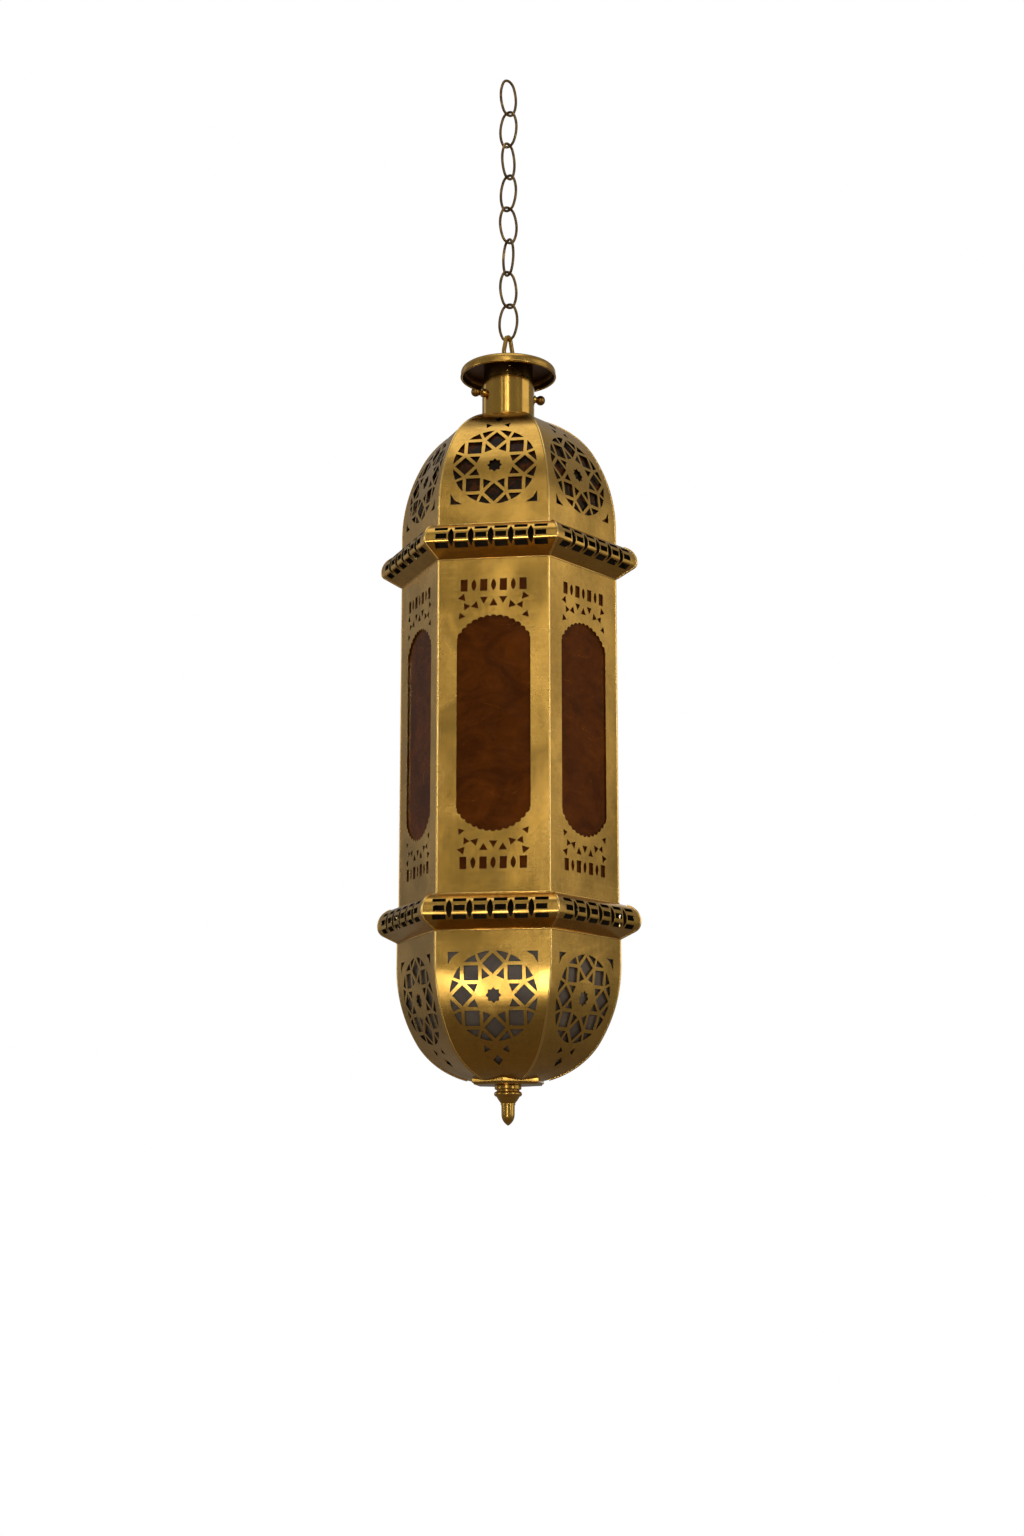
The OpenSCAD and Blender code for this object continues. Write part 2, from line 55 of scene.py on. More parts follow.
MM = 0.001
QUARTER = math.radians(90)
SIDES = 6
SIDE_TURN = math.radians(60)
CORNER = 1 / math.cos(math.radians(30))         # a corner's distance from the axis over a flat's
PANEL_LOW, PANEL_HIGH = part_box("body_panel_1")
WALL = -PANEL_LOW.y                             # from the axis to a panel's outer face
SHEET = PANEL_HIGH.y - PANEL_LOW.y
BODY_LOW, BODY_HIGH = PANEL_LOW.z, PANEL_HIGH.z
UPPER_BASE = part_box("upper_gore_1")[0].z
LOWER_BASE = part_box("lower_gore_1")[1].z
LOWER_WALL = -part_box("lower_gore_1")[0].y
RING_OUT = -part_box("upper_ring")[0].y
NECK_LOW, NECK_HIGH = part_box("neck_tube")[0].z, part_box("neck_tube")[1].z
NECK_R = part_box("neck_tube")[1].x
CAP_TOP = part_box("cap_disc")[1].z
CAP_DEPTH, CAP_R = 11 * MM, 45.5 * MM
CAP_RIM = CAP_TOP - CAP_DEPTH
CORNER_ANGLE = math.radians(-60)                # the corner to the right of the front panel
RING_MIDDLE = 6 * MM                            # from the wall out to the middle line of a ring's moulding
PLATE_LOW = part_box("base_plate")[0].z


# ---- what a user would change

def length(name, note, default):
    return bpy.props.FloatProperty(name=name, description=note, default=default, min=0, unit="LENGTH",
                                   precision=5)


def bearing(name, note, degrees):
    return bpy.props.FloatProperty(name=name, description=note, default=math.radians(degrees),
                                   subtype="ANGLE")


def paint(name, note, default):
    return bpy.props.FloatVectorProperty(name=name, description=note, default=default, size=3, min=0, max=1,
                                         subtype="COLOR")


class LanternSizes(bpy.types.PropertyGroup):
    """Sizes of the fine details that are not in the frame."""
    cut_edge: length("Cut edge", "Width of the rounding on pierced and sawn edges", 0.36 * MM)
    hand_wobble: length("Hand wobble", "How far the sawn holes stray from their lines", 0.9 * MM)
    seam_r: length("Seam radius", "Radius of the solder bead along a ridge or corner", 1.1 * MM)
    fold_r: length("Fold radius", "Radius of the folded edge where a panel meets a ring", 0.75 * MM)
    wire_r: length("Link wire radius", "Radius of the chain's wire", 1.3 * MM)
    wire_gap: length("Link gap", "Gap where the ends of a link's wire meet", 0.25 * MM)
    ripple: length("Pane ripple", "Depth of the ripples in the amber panes", 0.5 * MM)


class LanternColours(bpy.types.PropertyGroup):
    """Colours of the lantern's finishes."""
    # The fresh brass is partly wear on the cut edges and partly painted highlight on the cut edges, beads,
    # folds and rivets.
    brass_fresh_and_highlight: paint("Fresh brass", "Sawn edges and solder beads", (0.95, 0.71, 0.32))
    brass_bright: paint("Rubbed brass", "Where hands and cloth have rubbed it", (0.82, 0.53, 0.155))
    brass_mid: paint("Aged brass", "The general colour of the sheet", (0.62, 0.365, 0.078))
    brass_dark: paint("Tarnish", "Brown tarnish lying on the sheet", (0.26, 0.135, 0.026))
    bronze: paint("Chain bronze", "Dark antique finish of the chain and screws", (0.16, 0.10, 0.045))
    # Painted shade: this umber colours the underside of the cap for the shade under its dish.
    underside_shade: paint("Umber", "Brown film on the underside of the cap", (0.10, 0.042, 0.006))
    # Painted shade: these two near-black browns colour the inside faces, the cap's underside and the upper
    # liner for the shade inside the lantern.
    deep_shade: paint("Soot", "Unpolished inside of the sheets", (0.014, 0.008, 0.004))
    paler_shade: paint("Smoke", "Paler smoke marks inside the sheets", (0.035, 0.021, 0.009))
    amber: paint("Amber", "Colour of the amber glass where it is thin", (0.19, 0.046, 0.002))
    amber_deep: paint("Deep amber", "Colour of the amber glass where it is thick", (0.085, 0.020, 0.001))
    # The seeds are bubbles painted as lighter dots, which stand for their glints: a painted highlight.
    seed: paint("Seeds", "Bubbles caught in the amber glass", (0.40, 0.16, 0.03))
    # The frosted sheets and their dust are coloured dark brown-grey, partly dirt and partly painted shade of
    # the lantern's dim inside.
    frosted: paint("Frosted liner", "Frosted sheets behind the lower dome", (0.10, 0.072, 0.052))
    dust_and_shade: paint("Dust", "Dust on the frosted sheets", (0.072, 0.050, 0.034))
    bulb: paint("Bulb", "Clear glass of the bulb", (0.98, 0.98, 0.96))
    bulb_film: paint("Bulb film", "Dusty film on the bulb", (0.90, 0.88, 0.83))
    glaze: paint("Glaze", "Porcelain of the lampholder", (0.84, 0.81, 0.74))
    glaze_stain: paint("Glaze stain", "Heat stains on the porcelain", (0.70, 0.65, 0.55))
    bush: paint("Bush", "Plastic of the wire's bush", (0.022, 0.020, 0.018))
    bush_grain: paint("Bush grain", "Moulded grain of the bush", (0.045, 0.04, 0.036))
    nickel: paint("Nickel", "Screw cap of the bulb", (0.70, 0.67, 0.61))
    nickel_dull: paint("Dull nickel", "Dull lines on the bulb's cap", (0.50, 0.47, 0.42))
    coating: paint("Filament", "Coating of the filament", (0.88, 0.62, 0.22))
    coating_dark: paint("Dark filament", "Burnt coating of the filament", (0.70, 0.44, 0.12))
    floor: paint("Floor", "Pale studio floor", (0.86, 0.86, 0.85))
    floor_cloud: paint("Floor clouds", "Soft clouds on the floor", (0.83, 0.83, 0.82))


class StudioSettings(bpy.types.PropertyGroup):
    """Camera and lights."""
    camera_distance: length("Camera distance", "Level distance from the lantern's axis", 2.095)
    camera_height: bpy.props.FloatProperty(name="Camera height", description="Height of the camera",
                                           default=-1.103, unit="LENGTH")
    camera_turn: bearing("Camera turn", "How far the camera stands to the right", 8.67)
    camera_yaw: bearing("Camera yaw", "How far it looks past the axis", 0.097)
    camera_tilt: bearing("Camera tilt", "How far it looks up", 11.17)
    lens_mm: bpy.props.FloatProperty(name="Lens", description="Focal length on a 36 mm frame",
                                     default=53.906)
    backdrop: bpy.props.FloatProperty(name="Backdrop", description="Brightness behind the lantern",
                                      default=1.0)


# ---- shader arithmetic

class Signal:
    """A number that varies over a surface, written as ordinary arithmetic."""

    def __init__(self, finish, socket):
        self.finish, self.socket = finish, socket

    def maths(self, operation, first, second, clamp=False):
        node = self.finish.node("ShaderNodeMath", {"operation": operation, "use_clamp": clamp},
                                {0: first, 1: second})
        return Signal(self.finish, node.outputs[0])

    def __add__(self, other):
        return self.maths("ADD", self, other)

    __radd__ = __add__

    def __sub__(self, other):
        return self.maths("SUBTRACT", self, other)

    def __rsub__(self, other):
        return self.maths("SUBTRACT", other, self)

    def __mul__(self, other):
        return self.maths("MULTIPLY", self, other)

    __rmul__ = __mul__

    def held(self):
        """Clamped between 0 and 1."""
        return self.maths("ADD", self, 0.0, clamp=True)

    def rise(self, low, high):
        """0 below low and 1 above high, with a soft step between."""
        node = self.finish.node("ShaderNodeMapRange", {"interpolation_type": "SMOOTHSTEP"},
                                {"Value": self, "From Min": low, "From Max": high})
        return Signal(self.finish, node.outputs[0])


class Finish:
    """One procedural material, built on a Principled shader."""

    def __init__(self, name):
        self.material = bpy.data.materials.new(name)
        self.material.use_nodes = True
        self.tree = self.material.node_tree
        self.tree.nodes.clear()
        self.place = self.node("ShaderNodeTexCoord").outputs["Object"]

    def node(self, kind, settings=None, sockets=None):
        made = self.tree.nodes.new(kind)
        for key, value in (settings or {}).items():
            if key == "stops":
                ramp = made.color_ramp
                while len(ramp.elements) < len(value):
                    ramp.elements.new(0.5)
                for element, (position, colour) in zip(ramp.elements, value):
                    element.position, element.color = position, colour
            else:
                setattr(made, key, value)
        for key, value in (sockets or {}).items():
            value = value.socket if isinstance(value, Signal) else value
            if isinstance(value, bpy.types.NodeSocket):
                self.tree.links.new(value, made.inputs[key])
            else:
                made.inputs[key].default_value = value
        return made

    def noise(self, scale, detail=4, rough=0.55, swirl=0.0, stretch=(1, 1, 1)):
        """Cloudy noise, with about that many features in a metre along each axis."""
        factors = [scale * k for k in stretch]
        where = self.node("ShaderNodeMapping", None, {"Vector": self.place, "Scale": factors})
        made = self.node("ShaderNodeTexNoise", None,
                         {"Vector": where.outputs[0], "Scale": 1.0, "Detail": detail, "Roughness": rough,
                          "Distortion": swirl})
        return Signal(self, made.outputs[0])

    def cells(self, scale):
        """Distance to scattered points, about that many in a metre."""
        made = self.node("ShaderNodeTexVoronoi", None, {"Vector": self.place, "Scale": scale})
        return Signal(self, made.outputs["Distance"])

    def blend(self, factor, first, second):
        """A colour part of the way from first to second."""
        made = self.node("ShaderNodeMix", {"data_type": "RGBA"},
                         {0: factor, 6: as_rgba(first), 7: as_rgba(second)})
        return made.outputs[2]

    def bumps(self, height, depth):
        """Surface relief of the given depth in metres."""
        made = self.node("ShaderNodeBump", None, {"Height": height, "Distance": depth, "Strength": 1.0})
        return made.outputs[0]

    def cover(self, **sockets):
        """Ends the material in a Principled shader with these inputs, named with _ for spaces."""
        named = {key.replace("_", " "): value for key, value in sockets.items()}
        shader = self.node("ShaderNodeBsdfPrincipled", None, named)
        self.node("ShaderNodeOutputMaterial", None, {"Surface": shader.outputs[0]})
        return self.material


class Sky(Finish):
    """The world's shader, built with the same tools and read by direction."""

    def __init__(self, world):
        world.use_nodes = True
        self.tree = world.node_tree
        self.tree.nodes.clear()
        self.place = self.node("ShaderNodeTexCoord").outputs["Generated"]


def as_rgba(colour):
    return colour if isinstance(colour, bpy.types.NodeSocket) else (*colour[:3], 1.0)


# ---- finishes

def brass(name, bright, mid, dark, tarnish, smooth, dull, dent):
    """Old polished brass: clouds of tarnish, rubbed patches, polishing lines and a beaten surface."""
    f = Finish(name)
    drift = f.noise(14, 4, 0.6, 0.9)
    blotch = f.noise(62, 5, 0.62, 0.5)
    mottle = f.noise(240, 5, 0.6)
    grain = f.noise(700, 3, 0.6)
    level = f.noise(9, 3, 0.55, stretch=(1, 1, 75))
    upright = f.noise(9, 3, 0.55, stretch=(70, 70, 1))
    aged = (drift * 0.35 + blotch * 0.4 + mottle * 0.25).rise(0.56 - tarnish, 0.80 - tarnish)
    film = drift.rise(0.34, 0.76)
    rubbed = (blotch * 0.45 + level * 0.3 + upright * 0.25).rise(0.50, 0.66)
    pits = grain.rise(0.62, 0.74)
    colour = f.blend(rubbed * 0.5, mid, bright)
    colour = f.blend(aged * 0.45, colour, dark)
    colour = f.blend(pits * 0.12, colour, dark)
    rough = smooth + film * (dull - smooth) + pits * 0.03 + level * 0.03 + upright * 0.03
    sway = f.noise(7, 0)
    dents = f.noise(24, 0.3, 0.4)
    dimples = f.noise(75, 1, 0.5)
    relief = sway * (dent * 4) + dents * dent + dimples * (dent * 0.05)
    relief = relief + (level + upright) * 0.0012 + grain * 0.0006
    return f.cover(Base_Color=colour, Metallic=1.0, Roughness=rough.held(), Normal=f.bumps(relief, MM))


def cut_brass(colours):
    """Sawn and filed edges, brighter than the sheet, partly from wear and partly as a painted highlight
    along the edges.
    """
    f = Finish("brass_cut_edge")
    mottle = f.noise(260, 4, 0.6)
    colour = f.blend(mottle.rise(0.48, 0.72), colours.brass_fresh_and_highlight, colours.brass_mid)
    rough = 0.16 + mottle * 0.16
    filed = f.noise(1200, 2, 0.5)
    return f.cover(Base_Color=colour, Metallic=1.0, Roughness=rough, Normal=f.bumps(filed, 0.01 * MM))


def inner_brass(colours):
    """The unpolished inside of the sheets, coloured near black as painted shade of the lantern's dark
    inside.
    """
    f = Finish("brass_inside")
    blotch = f.noise(45, 5, 0.6)
    colour = f.blend(blotch.rise(0.4, 0.65), colours.deep_shade, colours.paler_shade)
    rough = 0.66 + blotch * 0.2
    return f.cover(Base_Color=colour, Metallic=0.2, Roughness=rough, Specular_IOR_Level=0.2,
                   Normal=f.bumps(blotch, 0.2 * MM))


def bronze_wire(colours):
    """Dark antique chain finish with the brass showing through where links rub."""
    f = Finish("chain_bronze")
    blotch = f.noise(120, 4, 0.6, 0.4)
    grain = f.noise(900, 3, 0.6)
    worn = (blotch * 0.8 + grain * 0.2).rise(0.46, 0.68)
    colour = f.blend(worn * 0.5, colours.bronze, colours.brass_mid)
    rough = 0.40 - worn * 0.10 + grain * 0.06
    return f.cover(Base_Color=colour, Metallic=1.0, Roughness=rough, Normal=f.bumps(grain, 0.006 * MM))


def amber_glass(colours):
    """Seeded, rippled amber glass, too deep in colour to show a clear outline behind it. The seeds are
    lighter dots that stand for bubbles and their glints, a painted highlight.
    """
    f = Finish("amber_seeded_glass")
    drift = f.noise(22, 4, 0.6, 1.2)
    streak = f.noise(30, 5, 0.65, 1.6, stretch=(1, 1, 2.2))
    seed_glints = 1 - f.cells(300).rise(0.05, 0.13)
    thin = (drift * 0.6 + streak * 0.4).rise(0.34, 0.74)
    colour = f.blend(thin, colours.amber_deep, colours.amber)
    colour = f.blend(seed_glints * 0.25, colour, colours.seed)
    rough = 0.14 + streak * 0.20
    waves = f.noise(70, 3, 0.5, 0.6) * 0.30 + streak * 0.10 + seed_glints * 0.05
    return f.cover(Base_Color=colour, Roughness=rough, IOR=1.12, Transmission_Weight=0.25,
                   Normal=f.bumps(waves, MM))


def shaded_liner_glass(colours):
    """Glass behind the upper dome's piercing, dusty on its outer face, coloured near black as painted shade
    inside the upper dome.
    """
    f = Finish("painted_shade_liner")
    dust_and_shade = f.noise(70, 5, 0.6, 0.5)
    fine = f.noise(600, 2, 0.5)
    colour = f.blend(dust_and_shade.rise(0.45, 0.7), colours.deep_shade, colours.amber_deep)
    return f.cover(Base_Color=colour, Roughness=0.16 + dust_and_shade * 0.2, IOR=1.2,
                   Normal=f.bumps(fine + dust_and_shade * 6, 0.03 * MM))


def frosted_glass(colours):
    """Sand-blasted liner, dusty and uneven, darkened brown-grey partly by dirt and partly as painted shade
    of the lantern's dim inside.
    """
    f = Finish("frosted_liner")
    dust_and_shade = f.noise(60, 5, 0.6, 0.5)
    fine = f.noise(800, 2, 0.5)
    colour = f.blend(dust_and_shade.rise(0.4, 0.65), colours.frosted, colours.dust_and_shade)
    return f.cover(Base_Color=colour, Roughness=0.34 + dust_and_shade * 0.2, Specular_IOR_Level=0.5,
                   Normal=f.bumps(fine + dust_and_shade * 4, 0.03 * MM))


def plain(name, texture, top, light, dark, rough, depth, **more):
    """A simple finish: two colours in soft clouds, which the roughness and a fine relief follow.

    texture says how the noise is made, top is the noise level where the dark colour is full, and rough
    holds the least roughness and how much the noise adds."""
    f = Finish(name)
    film = f.noise(**texture)
    return f.cover(Base_Color=f.blend(film.rise(0.4, top), light, dark),
                   Roughness=rough[0] + film * rough[1], Normal=f.bumps(film, depth), **more)


FINISHES = {}


def make_finishes(colours):
    """Makes every material once. A brass's numbers: tarnish, least and most roughness, depth of dents."""
    bright, mid, dark, deep_shade = colours.brass_bright, colours.brass_mid, colours.brass_dark, colours.deep_shade
    FINISHES.update({
        "sheet": brass("brass_beaten_sheet", bright, mid, dark, 0.14, 0.14, 0.30, 1.0),
        "polished": brass("brass_polished", bright, mid, dark, 0.09, 0.11, 0.20, 0.05),
        "turned": brass("brass_turned", bright, mid, dark, 0.10, 0.21, 0.36, 0.03),
        "cap": brass("brass_cap", bright, mid, dark, 0.17, 0.20, 0.40, 0.14),
        # Painted shade on the collar, which sits in the shadow under the cap; on the screws this dark is
        # their own antique finish.
        "dark": brass("brass_tarnished_and_shaded", mid, dark, colours.bronze, 0.18, 0.20, 0.44, 0.06),
        # Painted shade: the underside finish runs from tarnish through umber to near black for the shade
        # under the cap's dish.
        "underside": brass("brass_cap_underside", dark, colours.underside_shade, deep_shade, 0.14, 0.24, 0.40, 0.08),
        # Painted highlight: the beads, folds and rivets are made from the rubbed and fresh brass so that
        # they read as bright lines and dots.
        "bead": brass("brass_bead_painted_highlight", colours.brass_fresh_and_highlight, bright, mid, 0.05, 0.14, 0.28, 0.02),
        "edge": cut_brass(colours),
        "inside": inner_brass(colours),
        "chain": bronze_wire(colours),
        "amber": amber_glass(colours),
        # Painted shade: the upper liner's near-black glass stands for the shade inside the upper dome.
        "shade_liner": shaded_liner_glass(colours),
        "frosted": frosted_glass(colours),
        "clear": plain("bulb_clear_glass", {"scale": 90, "detail": 4, "rough": 0.6}, 0.7, colours.bulb,
                       colours.bulb_film, (0.03, 0.05), 0.05 * MM, IOR=1.5, Transmission_Weight=1.0),
        "porcelain": plain("holder_porcelain", {"scale": 140, "detail": 4, "rough": 0.6}, 0.7, colours.glaze,
                           colours.glaze_stain, (0.18, 0.1), 0.05 * MM),
        "bush": plain("bush_black_plastic", {"scale": 1500, "detail": 3, "rough": 0.6}, 0.7, colours.bush,
                      colours.bush_grain, (0.42, 0.15), 0.02 * MM),
        "nickel": plain("bulb_cap_nickel", {"scale": 30, "detail": 3, "rough": 0.6, "stretch": (1, 1, 60)},
                        0.65, colours.nickel, colours.nickel_dull, (0.26, 0.14), 0.02 * MM, Metallic=1.0),
        "filament": plain("bulb_filament", {"scale": 1400, "detail": 3, "rough": 0.6}, 0.65, colours.coating,
                          colours.coating_dark, (0.55, 0.2), 0.03 * MM),
    })


# ---- hand tools

def make_active(piece):
    """Selects one object and nothing else."""
    if bpy.context.object and bpy.context.object.mode != "OBJECT":
        bpy.ops.object.mode_set(mode="OBJECT")
    bpy.ops.object.select_all(action="DESELECT")
    if piece is not None:
        piece.select_set(True)
        bpy.context.view_layer.objects.active = piece


def bake(piece):
    """Puts the piece's place, turn and scale into its mesh."""
    make_active(piece)
    bpy.ops.object.transform_apply(location=True, rotation=True, scale=True)
    return piece


def open_mesh(piece):
    make_active(piece)
    bpy.ops.object.mode_set(mode="EDIT")
    bpy.ops.mesh.select_all(action="SELECT")


def close_mesh():
    bpy.ops.object.mode_set(mode="OBJECT")


def settle(piece, smooth_angle=35):
    """Puts the piece's place into its mesh and smooths its gentle angles."""
    bake(piece)
    bpy.ops.object.shade_smooth_by_angle(angle=math.radians(smooth_angle))
    return piece


def tidy_normals(piece):
    open_mesh(piece)
    bpy.ops.mesh.remove_doubles(threshold=0.004 * MM)
    bpy.ops.mesh.normals_make_consistent(inside=False)
    close_mesh()


def modifier(piece, kind, **settings):
    """Adds a modifier and applies it."""
    make_active(piece)
    made = piece.modifiers.new(kind.title(), kind)
    for key, value in settings.items():
        setattr(made, key, value)
    bpy.ops.object.modifier_apply(modifier=made.name)


def round_edges(piece, width, angle=40, segments=2, slot=0):
    """Rounds the sharp edges and keeps flat faces reading flat."""
    modifier(piece, "BEVEL", width=width, segments=segments, limit_method="ANGLE",
             angle_limit=math.radians(angle), material=slot, use_clamp_overlap=True)
    make_active(piece)
    bpy.ops.object.shade_smooth_by_angle(angle=math.radians(50))
    modifier(piece, "WEIGHTED_NORMAL", keep_sharp=True, weight=80)


def drill(piece, radius, depth, place, turn=(0, 0, 0), sides=48):
    """Drills a round hole through the piece."""
    make_active(None)
    bpy.ops.mesh.primitive_cylinder_add(vertices=sides, radius=radius, depth=depth, location=place,
                                        rotation=turn)
    bit = bpy.context.object
    modifier(piece, "BOOLEAN", object=bit, operation="DIFFERENCE", solver="EXACT")
    bpy.data.objects.remove(bit)


def give(piece, *finishes):
    """Puts the finishes into the piece's material slots, in order, and keeps which face has which."""
    slots = piece.data.materials
    for k, finish in enumerate(finishes):
        if k < len(slots):
            slots[k] = FINISHES[finish]
        else:
            slots.append(FINISHES[finish])
    return piece


def mount_on(piece, body, slot, *nodes):
    """Lets the piece ride on its body and stand for its nodes."""
    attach(piece, body)
    if nodes:
        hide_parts(*nodes)
    return piece


def own_copy(piece, name):
    """A copy with its own mesh."""
    copy = piece.copy()
    copy.data = piece.data.copy()
    copy.name = name
    bpy.context.scene.collection.objects.link(copy)
    return copy


def turned_copy(piece, name, angle, height=0.0):
    """A copy turned about the upright axis and moved along it, with its place in its mesh."""
    copy = own_copy(piece, name)
    copy.rotation_euler = (0, 0, angle)
    copy.location = (0, 0, height)
    return bake(copy)


def joined(pieces, name):
    """Several pieces as one."""
    make_active(pieces[0])
    for piece in pieces[1:]:
        piece.select_set(True)
    bpy.ops.object.join()
    pieces[0].name = name
    return pieces[0]


def arc(centre, radius, start, end, steps):
    """Points along an arc of (radius, height), with angles in degrees above level."""
    turns = [math.radians(start + (end - start) * i / steps) for i in range(steps + 1)]
    return [(centre[0] + radius * math.cos(t), centre[1] + radius * math.sin(t)) for t in turns]


def in_mm(points, level=0.0, up=1):
    """Points (radius, height) given in millimetres above a level, or below it with up at -1."""
    return [(radius * MM, level + up * height * MM) for radius, height in points]


def turned(name, profile, sides=96, tube=True):
    """Turns a profile of (radius, height) points about the upright axis, ring by ring, as on a lathe.

    A tube's last ring is joined to its first, and a solid ends at radius 0 after starting on a flat."""
    make_active(None)
    radius, height = profile[0]
    bpy.ops.mesh.primitive_circle_add(vertices=sides, radius=radius, location=(0, 0, height))
    piece = bpy.context.object
    piece.name = name
    open_mesh(piece)
    if not tube:
        bpy.ops.mesh.edge_face_add()
    for next_radius, next_height in profile[1:]:
        bpy.ops.mesh.extrude_region_move(TRANSFORM_OT_translate={"value": (0, 0, next_height - height)})
        if next_radius == 0:
            bpy.ops.mesh.merge(type="CENTER")
            break
        grow = next_radius / radius
        bpy.ops.transform.resize(value=(grow, grow, 1), center_override=(0, 0, next_height))
        radius, height = next_radius, next_height
    if tube:
        bpy.ops.mesh.select_all(action="DESELECT")
        bpy.ops.mesh.select_non_manifold()
        bpy.ops.mesh.bridge_edge_loops()
    close_mesh()
    tidy_normals(bake(piece))
    return piece


def rod(name, points, radius, closed=False, sides=3):
    """A round bead laid along a line of points."""
    make_active(None)
    line = bpy.data.curves.new(name, "CURVE")
    line.dimensions = "3D"
    line.bevel_depth, line.bevel_resolution, line.use_fill_caps = radius, sides, True
    spline = line.splines.new("POLY")
    spline.points.add(len(points) - 1)
    for spot, point in zip(spline.points, points):
        spot.co = (*point, 1)
    spline.use_cyclic_u = closed
    bead = bpy.data.objects.new(name, line)
    bpy.context.scene.collection.objects.link(bead)
    make_active(bead)
    bpy.ops.object.convert(target="MESH")
    bead = bpy.context.object
    bead.name = name
    return settle(bead, 40)


def node_copy(node, name):
    """A separate, merged copy of a node's mesh, ready to be worked on."""
    piece = bpy.data.objects.new(name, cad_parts[node].data.copy())
    bpy.context.scene.collection.objects.link(piece)
    piece.data.materials.clear()
    make_active(piece)
    bpy.ops.mesh.customdata_custom_splitnormals_clear()
    open_mesh(piece)
    bpy.ops.mesh.remove_doubles(threshold=0.01 * MM)
    bpy.ops.mesh.dissolve_limited(angle_limit=math.radians(0.4))
    close_mesh()
    return piece


def wobble(piece, strength, texture_size, direction):
    """Moves the mesh a little along one axis, as a hand-held saw strays."""
    texture = bpy.data.textures.get("saw_wander") or bpy.data.textures.new("saw_wander", "CLOUDS")
    texture.noise_scale, texture.noise_depth = texture_size, 2
    modifier(piece, "DISPLACE", texture=texture, texture_coords="LOCAL", direction=direction,
             strength=strength, mid_level=0.5)


def sort_faces(piece, core, wall):
    """Gives outer faces slot 0, cut walls slot 1 and inner faces slot 2, seen from core(centre)."""
    for face in piece.data.polygons:
        out = (face.center - core(face.center)).normalized().dot(face.normal)
        face.material_index = 0 if out > wall else 2 if out < -wall else 1


def all_round(piece, names):
    """The piece and its five copies round the hexagon, named in order."""
    piece.name = names[0]
    return [piece] + [turned_copy(piece, names[k], k * SIDE_TURN) for k in range(1, SIDES)]


def numbered(stem):
    return [f"{stem}_{k}" for k in range(1, SIDES + 1)]


# ---- chain

LINKS = 8
LINK_HALF_H, LINK_HALF_W, LINK_END_R = 18.15 * MM, 10.5 * MM, 8 * MM
LINK_PITCH = 33.45 * MM
LINK_TURNS = (54, -33, 64, -37, 49, -54, 51, -27)
RIVET_TURN = 8.7


class LANTERN_OT_chain(bpy.types.Operator):
    """Bends one oval link from wire, with its ends butted together, and hangs the chain"""
    bl_idname = "lantern.chain"
    bl_label = "Chain"

    def execute(self, context):
        sizes = context.scene.lantern_sizes
        flank = LINK_HALF_H - LINK_END_R
        side_r = (flank ** 2 + LINK_HALF_W ** 2 - LINK_END_R ** 2) / (2 * (LINK_HALF_W - LINK_END_R))
        split = math.atan2(flank, side_r - LINK_HALF_W)
        half_gap = sizes.wire_gap / side_r / 2
        make_active(None)
        bpy.ops.mesh.primitive_circle_add(vertices=20, radius=sizes.wire_r, location=(LINK_HALF_W, 0, 0))
        link = context.object
        open_mesh(link)
        bends = [(LINK_HALF_W - side_r, 0, split - half_gap, 7), (0, flank, math.pi - 2 * split, 20),
                 (side_r - LINK_HALF_W, 0, 2 * split, 14), (0, -flank, math.pi - 2 * split, 20),
                 (LINK_HALF_W - side_r, 0, split - half_gap, 7)]
        bpy.ops.transform.translate(value=(0, 0, sizes.wire_gap / 2))
        for x, z, angle, steps in bends:
            bpy.ops.mesh.spin(steps=steps, angle=angle, center=(x, 0, z), axis=(0, 1, 0))
        bpy.ops.mesh.select_all(action="SELECT")
        bpy.ops.mesh.fill_holes(sides=0)
        close_mesh()
        tidy_normals(bake(link))
        modifier(link, "BEVEL", width=0.2 * MM, segments=2, limit_method="ANGLE",
                 angle_limit=math.radians(60))
        settle(link, 50)
        give(link, "chain")
        top = sizes.wire_r - LINK_HALF_H
        for i in range(LINKS):
            hung = turned_copy(link, f"link_wire_{i + 1}", math.radians(LINK_TURNS[i]),
                               top - i * LINK_PITCH)
            mount_on(hung, f"chain_link_{i + 1}", "aged_brass", f"chain_link_{i + 1}")
        bpy.data.objects.remove(link)
        return {"FINISHED"}


# ---- cap, neck and screws

